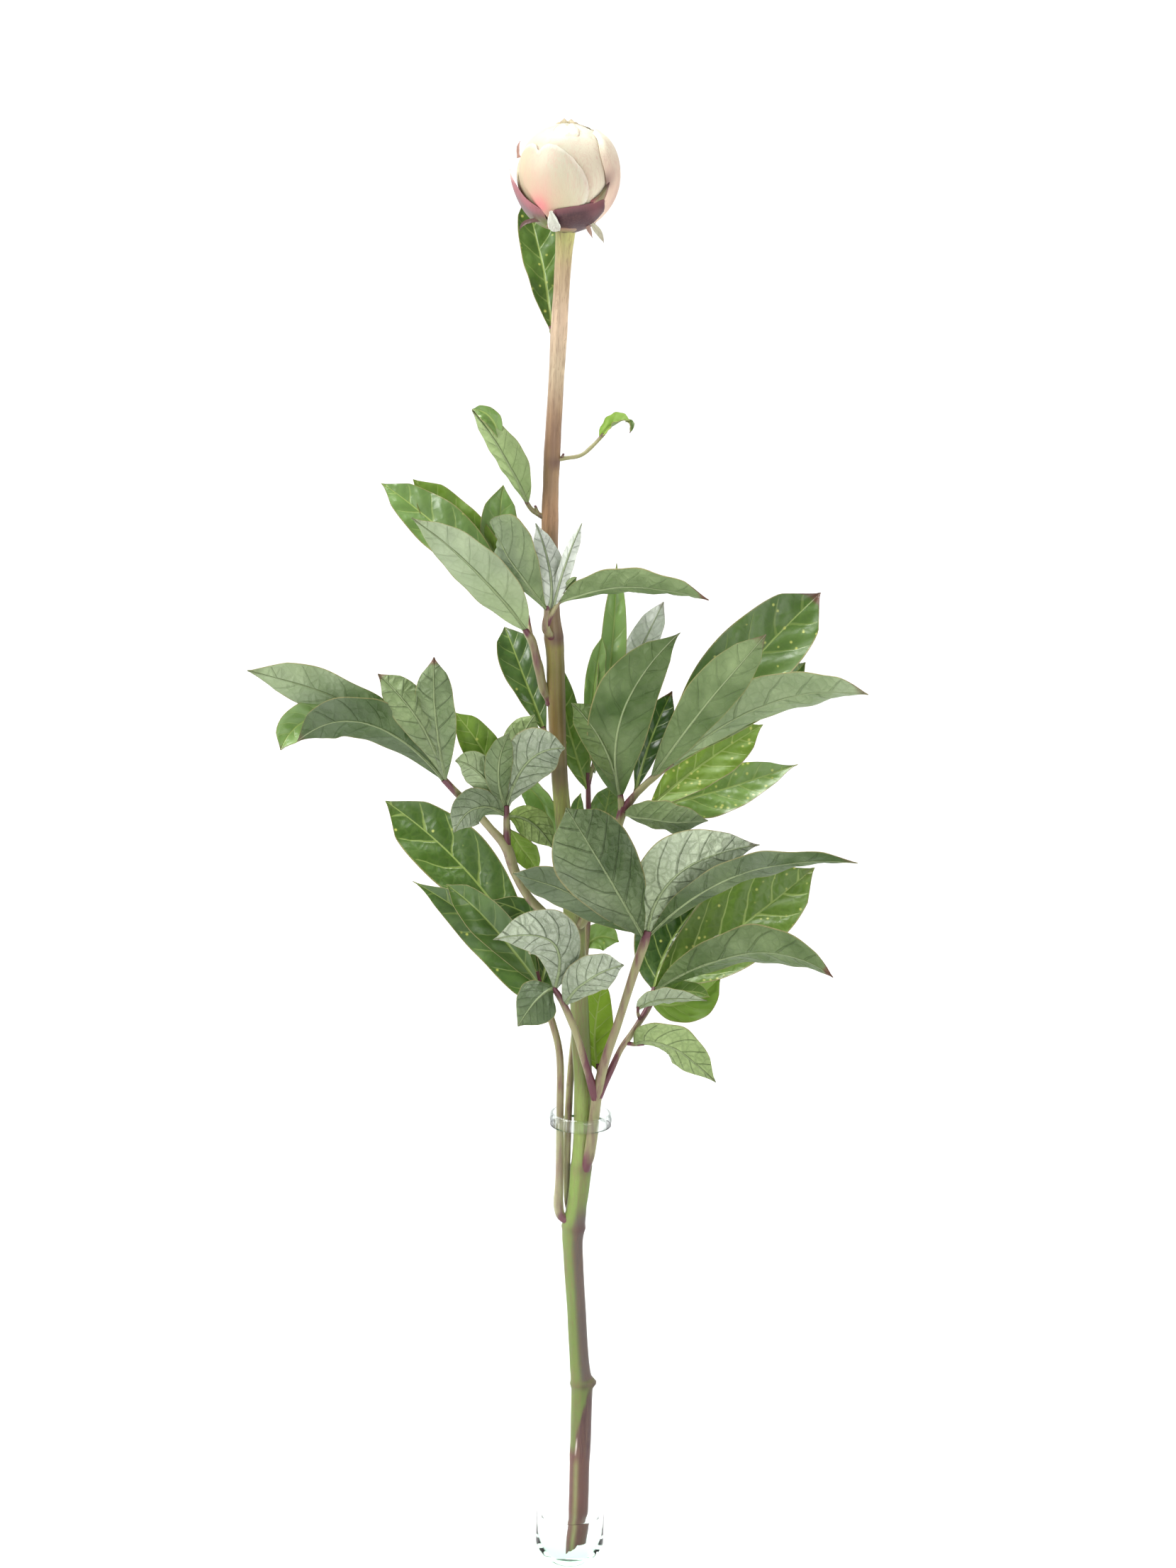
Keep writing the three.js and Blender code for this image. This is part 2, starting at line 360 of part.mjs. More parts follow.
// Patch of a petal or sepal: [turn round the bud, half width in degrees, bottom, top (degrees from the foot),
//                             distance outside the bud, lift of the top edge, wave of the edge]
function patch([turn, spread, bottom, top, out, lift, wave], thick, rows = 6, cols = 6) {
  const outer = [];
  const inner = [];
  for (let i = 0; i < rows; i++) {
    const s = i / (rows - 1);
    const lane = (Math.max(0, 1 - Math.abs(2 * s - 0.95) ** 3.2)) ** 0.5;
    const rowOut = [];
    const rowIn = [];
    for (let j = 0; j < cols; j++) {
      const v = (2 * j) / (cols - 1) - 1;
      const dip = s * s * (1 - Math.cos(v * 1.35)) * 0.3 + wave * s * s * Math.sin(7 * v + turn);
      const polar = ((bottom + (top - bottom) * (s - dip * 0.4)) * Math.PI) / 180;
      const wide = (spread * (0.45 + 0.55 * lane) * v * Math.PI) / 180;
      const az = (turn * Math.PI) / 180 + wide;
      const r = 1 + (out + lift * s * s + 0.35 * s * v * v) / budRadius;
      const dir = new THREE.Vector3(Math.sin(polar) * Math.cos(az) * budRadius, Math.sin(polar) * Math.sin(az) * budRadius,
        -Math.cos(polar) * budHalfHeight);
      const face = dir.clone().normalize();
      const p = dir.multiplyScalar(r).add(new THREE.Vector3(...budCentre));
      rowOut.push(p.clone());
      rowIn.push(p.clone().addScaledVector(face, -thick));
    }
    outer.push(rowOut);
    inner.push(rowIn);
  }
  return slab(outer, inner);
}

const petals = [
  // inner ring, closing at the top
  [24, 46, 40, 166, 0.4, -0.6, 0.02], [95, 46, 40, 164, 0.95, -0.4, 0.03], [170, 48, 40, 166, 0.4, -0.6, 0.02],
  [238, 44, 40, 168, 0.95, -0.5, 0.03], [309, 45, 40, 163, 0.68, -0.4, 0.02],
  // outer ring
  [262, 60, 22, 128, 2, 0, 0.02], [196, 50, 22, 132, 1.45, 0.1, 0.03], [128, 52, 22, 126, 1.9, 0, 0.02],
  [58, 50, 22, 130, 1.45, 0.1, 0.03], [340, 46, 22, 122, 1.75, 0.2, 0.03],
];
const sepals = [
  [184, 30, 18, 92, 3.4, 1.2, 0.02], [300, 42, 18, 62, 3.6, 0.2, 0.03], [96, 44, 18, 74, 3.8, 0.2, 0.03], [238, 20, 18, 48, 3.8, 1.6, 0.03],
];

function lathe(profile, segments) {
  return new THREE.LatheGeometry(profile.map(([r, z]) => new THREE.Vector2(r, z)), segments).rotateX(Math.PI / 2);
}

// ---- assembly ----

const root = new THREE.Group();
root.name = "peony_in_bud_vase";

function add(name, geometry, hex, roughness, more = {}) {
  const mesh = new THREE.Mesh(geometry, new THREE.MeshStandardMaterial({ color: hex, roughness, metalness: 0, ...more }));
  mesh.name = name;
  root.add(mesh);
}

// Joined body with corners closer than a few hundredths of a millimetre drawn together
function welded(solid) {
  for (const near of [0.05, 0.03, 0.02, 0.01, 0.005]) {
    const g = mergeVertices(fromManifold(solid), near);
    const id = g.index.array;
    const kept = [];
    const edges = new Map();
    for (let i = 0; i < id.length; i += 3) {
      const t = [id[i], id[i + 1], id[i + 2]];
      if (t[0] === t[1] || t[1] === t[2] || t[0] === t[2]) continue;
      kept.push(...t);
      for (let k = 0; k < 3; k++) {
        const key = Math.min(t[k], t[(k + 1) % 3]) + "_" + Math.max(t[k], t[(k + 1) % 3]);
        edges.set(key, (edges.get(key) || 0) + 1);
      }
    }
    if ([...edges.values()].some((n) => n !== 2)) continue;
    g.setIndex(kept);
    return g;
  }
  return fromManifold(solid);
}

function fuse(parts) {
  return parts.map(toManifold).reduce((a, b) => a.add(b));
}

const inner = (z) => vaseFootRadius - wallThickness + ((vaseNeckRadius - vaseFootRadius) * z) / vaseHeight;
// Round floor inside the glass, from its middle to the wall
const bowl = [[0, floorHeight], [4, floorHeight + 0.3], [7.6, 11.8], [10.3, 15.4], [11.9, 20.5], [inner(27), 27]];
add("vase", lathe([
  [0, 0], [12.8, 0], [14.3, 0.9], [vaseFootRadius, 3], [vaseNeckRadius, vaseHeight - 5], [rimRadius, vaseHeight - 2.6],
  [rimRadius - 0.3, vaseHeight - 0.6], [rimRadius - 1.3, vaseHeight], [rimRadius - 2.3, vaseHeight - 0.6],
  [inner(vaseHeight - 5), vaseHeight - 5], ...bowl.toReversed(),
], 28), colour.glass, 0.06, { transparent: true, opacity: 0.3 });

const stem = stemSolid(0);
const stemRoom = stemSolid(clearance);
const waterBody = lathe([
  ...bowl.map(([r, z]) => [Math.max(0, r - clearance), r < 12 ? z + clearance : z]), [inner(waterLevel) - clearance, waterLevel], [0, waterLevel],
], 26);
add("water", fromManifold(toManifold(waterBody).subtract(stemRoom)), colour.water, 0.04, { transparent: true, opacity: 0.4 });
add("stem", fromManifold(stem), colour.stem, 0.55);

for (const [name, leaf] of Object.entries(leaves)) {
  const body = fuse([...leaf.stalks.map((s) => stalk(s)), ...leaf.blades.map(leaflet)]);
  add(name, welded(body.subtract(stemRoom)), colour.leaf, 0.5);
}

const ball = (grow, parts) => new THREE.SphereGeometry(1, parts, parts / 2).rotateX(Math.PI / 2)
  .scale(budRadius + grow, budRadius + grow, budHalfHeight + grow).translate(...budCentre);
add("bud_petals", welded(fuse([ball(-0.45, 18), ...petals.map((p) => patch(p, p[4] + 1.7, 6, p[4] < 1 ? 5 : 6))])), colour.petal, 0.7);

const cup = lathe([[0, 586], [4.4, 586], [7.2, 587], [9.9, 589.3], [9.4, 589.9], [6.8, 588.8], [0, 588.8]], 14).translate(budCentre[0], 0, 0);
add("sepals", welded(fuse([cup, ...sepals.map((p) => patch(p, 1, 5, 5))])), colour.sepal, 0.6);

export default root;
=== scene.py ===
# A peony stem with one closed flower and its leaves, standing in a narrow glass bud vase.
import math
import random

import bpy
from mathutils import Matrix, Vector, noise


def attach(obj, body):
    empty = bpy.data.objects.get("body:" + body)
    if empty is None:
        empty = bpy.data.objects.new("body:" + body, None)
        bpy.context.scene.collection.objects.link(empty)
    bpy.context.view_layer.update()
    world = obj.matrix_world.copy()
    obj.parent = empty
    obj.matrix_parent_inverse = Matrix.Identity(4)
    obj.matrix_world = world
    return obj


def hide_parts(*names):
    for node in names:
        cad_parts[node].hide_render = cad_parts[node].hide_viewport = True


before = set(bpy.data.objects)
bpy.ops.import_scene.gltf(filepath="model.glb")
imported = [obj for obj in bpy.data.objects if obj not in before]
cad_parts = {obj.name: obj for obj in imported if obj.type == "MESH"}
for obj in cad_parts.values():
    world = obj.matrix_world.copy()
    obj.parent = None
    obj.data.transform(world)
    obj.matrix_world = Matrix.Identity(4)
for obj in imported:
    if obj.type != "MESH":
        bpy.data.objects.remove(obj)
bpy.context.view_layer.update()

mm = 0.001
fullTurn = 6.28  # for waves and random turns


def addToScene(name, data):
    thing = bpy.data.objects.new(name, data)
    bpy.context.scene.collection.objects.link(thing)
    return thing


# ---- camera ----

cameraSet = {
    "place": (-0.0007, -2.2796, 0.9668),  # metres
    "down": 15.0,  # degrees below level
    "roll": 1.52,
    "lens": 130.6,
    "sensor": 36,
    "clip": (0.05, 60),
}


def makeCamera():
    down = math.radians(cameraSet["down"])
    roll = math.radians(cameraSet["roll"])
    ahead = Vector((0, math.cos(down), -math.sin(down)))
    level = Vector((1, 0, 0))
    over = level.cross(ahead)
    right = level * math.cos(roll) + over * math.sin(roll)
    top = over * math.cos(roll) - level * math.sin(roll)
    facing = Matrix((right, top, -ahead)).transposed().to_4x4()
    data = bpy.data.cameras.new("photoCamera")
    data.lens = cameraSet["lens"]
    data.sensor_width = cameraSet["sensor"]
    data.sensor_fit = "AUTO"
    data.clip_start, data.clip_end = cameraSet["clip"]
    camera = addToScene("photoCamera", data)
    camera.matrix_world = Matrix.Translation(cameraSet["place"]) @ facing
    bpy.context.scene.camera = camera


makeCamera()
print("camera in place")

# ---- nodes ----


def addNode(tree, kind, inputs=None, **fields):
    node = tree.nodes.new("ShaderNode" + kind)
    for field, value in fields.items():
        setattr(node, field, value)
    for socket, value in (inputs or {}).items():
        if isinstance(value, bpy.types.NodeSocket):
            tree.links.new(value, node.inputs[socket])
        elif value is not None:
            node.inputs[socket].default_value = value
    return node


def calc(tree, what, a, b=None, c=None, clamp=False):
    return addNode(tree, "Math", {0: a, 1: b, 2: c}, operation=what, use_clamp=clamp).outputs[0]


def plus(tree, a, b, clamp=False):
    return calc(tree, "ADD", a, b, clamp=clamp)


def minus(tree, a, b):
    return calc(tree, "SUBTRACT", a, b)


def times(tree, a, b):
    return calc(tree, "MULTIPLY", a, b)


def timesPlus(tree, a, b, c, clamp=False):
    return calc(tree, "MULTIPLY_ADD", a, b, c, clamp)


def rising(tree, value, low, high):  # 0 below low, 1 above high, smooth between
    return addNode(tree, "MapRange", {"Value": value, "From Min": low, "From Max": high},
                   interpolation_type="SMOOTHSTEP").outputs["Result"]


def falling(tree, value, low, high):
    return minus(tree, 1, rising(tree, value, low, high))


def sway(tree, value, size):  # a noise moved to both sides of zero
    return times(tree, minus(tree, value, 0.5), size)


def blendColours(tree, share, first, second):  # the node takes its two colours on sockets 6 and 7
    first, second = [(*c, 1) if isinstance(c, tuple) else c for c in (first, second)]
    return addNode(tree, "Mix", {"Factor": share, 6: first, 7: second}, data_type="RGBA").outputs[2]


def places(tree, scale=(1, 1, 1)):  # object coordinates, scaled in each direction
    where = addNode(tree, "TexCoord").outputs["Object"]
    return addNode(tree, "Mapping", {"Vector": where, "Scale": scale}).outputs[0]


def mottle(tree, scale, detail=3, stretch=(1, 1, 1)):
    spot = places(tree, stretch)
    return addNode(tree, "TexNoise", {"Vector": spot, "Scale": scale, "Detail": detail}).outputs["Fac"]


def cells(tree, scale, **fields):
    return addNode(tree, "TexVoronoi", {"Vector": places(tree), "Scale": scale}, **fields).outputs


def pointValue(tree, name):
    return addNode(tree, "Attribute", attribute_name=name).outputs


def mapParts(tree, name):
    where = addNode(tree, "UVMap", uv_map=name).outputs[0]
    parts = addNode(tree, "SeparateXYZ", {0: where}).outputs
    return parts[0], parts[1]


def newMaterial(name):
    material = bpy.data.materials.new(name)
    material.use_nodes = True
    material.node_tree.nodes.clear()
    return material, material.node_tree


def addBump(tree, shader, height, strength, distance):
    bump = addNode(tree, "Bump", {"Height": height, "Strength": strength, "Distance": distance})
    tree.links.new(bump.outputs[0], shader.inputs["Normal"])


def finishMaterial(tree, colour, roughness, specular, relief=None, through=None, share=0.3):
    shader = addNode(tree, "BsdfPrincipled", {"Base Color": colour, "Roughness": roughness,
                                              "Specular IOR Level": specular})
    if relief:
        addBump(tree, shader, *relief)
    surface = shader.outputs[0]
    if through is not None:  # light from behind
        thin = addNode(tree, "BsdfTranslucent", {"Color": through})
        surface = addNode(tree, "MixShader", {0: share, 1: surface, 2: thin.outputs[0]}).outputs[0]
    addNode(tree, "OutputMaterial", {"Surface": surface})


# ---- light and floor ----

studioSet = {
    "sky": (0.28, 0.28, 0.28),
    "horizon": (0.92, 0.92, 0.92),
    "skyStarts": (0.03, 0.4),  # how far up the horizon turns into sky
    "floorColours": ((0.60, 0.60, 0.60), (0.58, 0.58, 0.58)),
    "floorSize": 16.0,  # metres each way
    "overhead": ((-0.96, 1.35, 3.6), 5.6, 34),  # place, strength, width in degrees
    "lamps": {  # place, aim, size in metres, watts, colour
        "windowLamp": ((-1.5, -0.6, 1.6), (0, 0, 0.4), 1.0, 40, (1.0, 1.0, 1.0)),
        "frontLamp": ((0.9, -2.0, 0.7), (0, 0, 0.35), 1.4, 14, (1.0, 0.99, 0.97)),
    },
}


def addLamp(name, kind, place, aim, **fields):
    data = bpy.data.lights.new(name, kind)
    for field, value in fields.items():
        setattr(data, field, value)
    lamp = addToScene(name, data)
    lamp.location = place
    lamp.rotation_euler = (Vector(aim) - Vector(place)).to_track_quat("-Z", "Y").to_euler()


def makeStudio():
    world = bpy.data.worlds.new("studioSky")
    world.use_nodes = True
    tree = world.node_tree
    where = addNode(tree, "TexCoord").outputs["Generated"]
    rise = addNode(tree, "SeparateXYZ", {0: where}).outputs[2]
    turn = rising(tree, rise, *studioSet["skyStarts"])
    shade = blendColours(tree, turn, studioSet["horizon"], studioSet["sky"])
    tree.links.new(shade, tree.nodes["Background"].inputs["Color"])
    bpy.context.scene.world = world
    bpy.context.scene.view_settings.view_transform = "Standard"
    place, strength, width = studioSet["overhead"]
    addLamp("overheadLight", "SUN", place, (0, 0, 0), energy=strength, angle=math.radians(width))
    for name, (place, aim, size, watts, tint) in studioSet["lamps"].items():
        addLamp(name, "AREA", place, aim, shape="DISK", size=size, energy=watts, color=tint)


def makeFloor():
    size = studioSet["floorSize"] / 2
    mesh = bpy.data.meshes.new("studioFloor")
    corners = [(x * size, y * size, 0) for x, y in ((-1, -1), (1, -1), (1, 1), (-1, 1))]
    mesh.from_pydata(corners, [], [(0, 1, 2, 3)])
    material, tree = newMaterial("studioFloor")
    finishMaterial(tree, blendColours(tree, mottle(tree, 6), *studioSet["floorColours"]), 0.8, 0.5)
    mesh.materials.append(material)
    addToScene("studioFloor", mesh)


makeStudio()
makeFloor()
print("studio made")

# ---- shells ----

# A piece is gathered in lists and made at the end. Every point has two maps, grain and shape, and a tint of
# four shares. A blade's tint has a fifth, how crisp its veins are.


def newDraft():
    return {"points": [], "faces": [], "slots": [], "grain": [], "shape": [], "tint": []}


def addPoint(draft, point, grain, shape, tint):
    draft["points"].append(point * mm)
    draft["grain"].append(grain)
    draft["shape"].append(shape)
    draft["tint"].append(tint)
    return len(draft["points"]) - 1


def addFace(draft, corners, slot):
    draft["faces"].append(corners)
    draft["slots"].append(slot)


def joinRings(draft, low, high, slot):  # a ring may be a single point
    sides = max(len(low), len(high))
    for j in range(sides):
        k = (j + 1) % sides
        corners = (low[j % len(low)], low[k % len(low)], high[k % len(high)], high[j % len(high)])
        addFace(draft, tuple(dict.fromkeys(corners)), slot)


def closeSheet(draft, top, bottom, topSlot, bottomSlot):  # closed shell between two grids of points
    rows, lanes = len(top), len(top[0])
    for i in range(rows - 1):
        for j in range(lanes - 1):
            corners = ((i, j), (i, j + 1), (i + 1, j + 1), (i + 1, j))
            addFace(draft, tuple(top[a][b] for a, b in corners), topSlot)
            back = (corners[0], *reversed(corners[1:]))
            addFace(draft, tuple(bottom[a][b] for a, b in back), bottomSlot)
    edge = [(i, 0) for i in range(rows)] + [(rows - 1, j) for j in range(1, lanes)]
    edge += [(i, lanes - 1) for i in range(rows - 2, -1, -1)] + [(0, j) for j in range(lanes - 2, 0, -1)]
    for (i, j), (k, m) in zip(edge, edge[1:] + edge[:1]):
        addFace(draft, (top[i][j], top[k][m], bottom[k][m], bottom[i][j]), bottomSlot)


def makePiece(name, draft, materials, crease=50):  # edges sharper than crease, in degrees, stay sharp
    mesh = bpy.data.meshes.new(name)
    mesh.from_pydata(draft["points"], [], draft["faces"])
    for material in materials:
        mesh.materials.append(material)
    mesh.polygons.foreach_set("material_index", draft["slots"])
    mesh.polygons.foreach_set("use_smooth", [True] * len(draft["faces"]))
    corners = [0] * len(mesh.loops)
    mesh.loops.foreach_get("vertex_index", corners)
    for layer in ("grain", "shape"):
        uv = mesh.uv_layers.new(name=layer)
        uv.data.foreach_set("uv", [x for c in corners for x in draft[layer][c]])
    tint = mesh.color_attributes.new("tint", "FLOAT_COLOR", "POINT")
    tint.data.foreach_set("color", [x for t in draft["tint"] for x in t[:4]])
    crisp = mesh.attributes.new("crisp", "FLOAT", "POINT")
    crisp.data.foreach_set("value", [t[4] if len(t) > 4 else 1.0 for t in draft["tint"]])
    mesh.update()
    mesh.set_sharp_from_angle(angle=math.radians(crease))
    piece = addToScene(name, mesh)
    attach(piece, "root")
    return piece


def curvePoint(points, u):  # smooth curve through the points, as the solid's stalks run
    n = len(points) - 1
    k = min(int(u * n), n - 1)
    t = u * n - k
    p1, p2 = points[k], points[k + 1]
    p0 = points[k - 1] if k > 0 else p1 * 2 - p2
    p3 = points[k + 2] if k + 2 <= n else p2 * 2 - p1
    slope1 = (p2 - p0) * 0.5
    slope2 = (p3 - p1) * 0.5
    return (p1 * (2 * t**3 - 3 * t**2 + 1) + slope1 * (t**3 - 2 * t**2 + t)
            + p2 * (3 * t**2 - 2 * t**3) + slope2 * (t**3 - t**2))


# A tube along the curve through points. Lift adds to its radius, cut raises the points of its first end, and
# with pith, a tint, that end is hollowed.
def addTube(draft, points, radius, sides, steps, slot, tintAt, lift, cut=None, pith=None):
    n = (len(points) - 1) * steps
    nearby = 0.002
    side = Vector((1, 0, 0))
    rings = []
    run = 0.0
    before = points[0]
    for i in range(n + 1):
        u = i / n
        p = curvePoint(points, u)
        ahead = curvePoint(points, min(1, u + nearby)) - curvePoint(points, max(0, u - nearby))
        ahead = ahead.normalized()
        side = (side - ahead * side.dot(ahead)).normalized()
        other = ahead.cross(side)
        run += (p - before).length
        before = p
        ring = []
        for j in range(sides):
            w = 2 * math.pi * (j + 0.5) / sides
            r = radius(u) + lift(u, w)
            q = p + side * (r * math.cos(w)) + other * (r * math.sin(w))
            if cut and i == 0:
                q.z += cut(w)
            ring.append(addPoint(draft, q, (run, w), (math.cos(w), u), tintAt(u, w)))
        if rings:
            joinRings(draft, rings[-1], ring, slot)
        rings.append(ring)
    addFace(draft, tuple(rings[-1]), slot)
    last = rings[0]
    if pith:
        for share, rise in ((0.8, 0.15), (0.45, 0.9), (0.2, 1.3)):
            ring = []
            for j, corner in enumerate(rings[0]):
                q = points[0] + (Vector(draft["points"][corner]) / mm - points[0]) * share
                q.z += rise
                ring.append(addPoint(draft, q, (0, j), (share, 0), pith))
            joinRings(draft, ring, last, slot)
            last = ring
    addFace(draft, tuple(reversed(last)), slot)


def ramp(value, low, high):  # 0 below low, 1 above high, smooth between
    t = min(1.0, max(0.0, (value - low) / (high - low)))
    return t * t * (3 - 2 * t)


def mixTone(a, b, t):
    t = min(1.0, max(0.0, t))
    return [x + (y - x) * t for x, y in zip(a, b)]


def between(table, at):  # value or tone of a table of (place, value) at a place
    for (a, x), (b, y) in zip(table, table[1:]):
        if at <= b:
            t = max(0.0, (at - a) / (b - a))
            return mixTone(x, y, t) if isinstance(x, tuple) else x + (y - x) * t
    return table[-1][1]


# ---- where things are ----

eye = {"back": 2280.0, "up": 967.0}  # point that the tables' heights are sighted from


def sighted(p):  # [x across, height as sighted, y away] to a point in millimetres
    s = 1 + p[2] / eye["back"]
    return Vector((p[0] * s, p[2], eye["up"] + (p[1] - eye["up"]) * s))


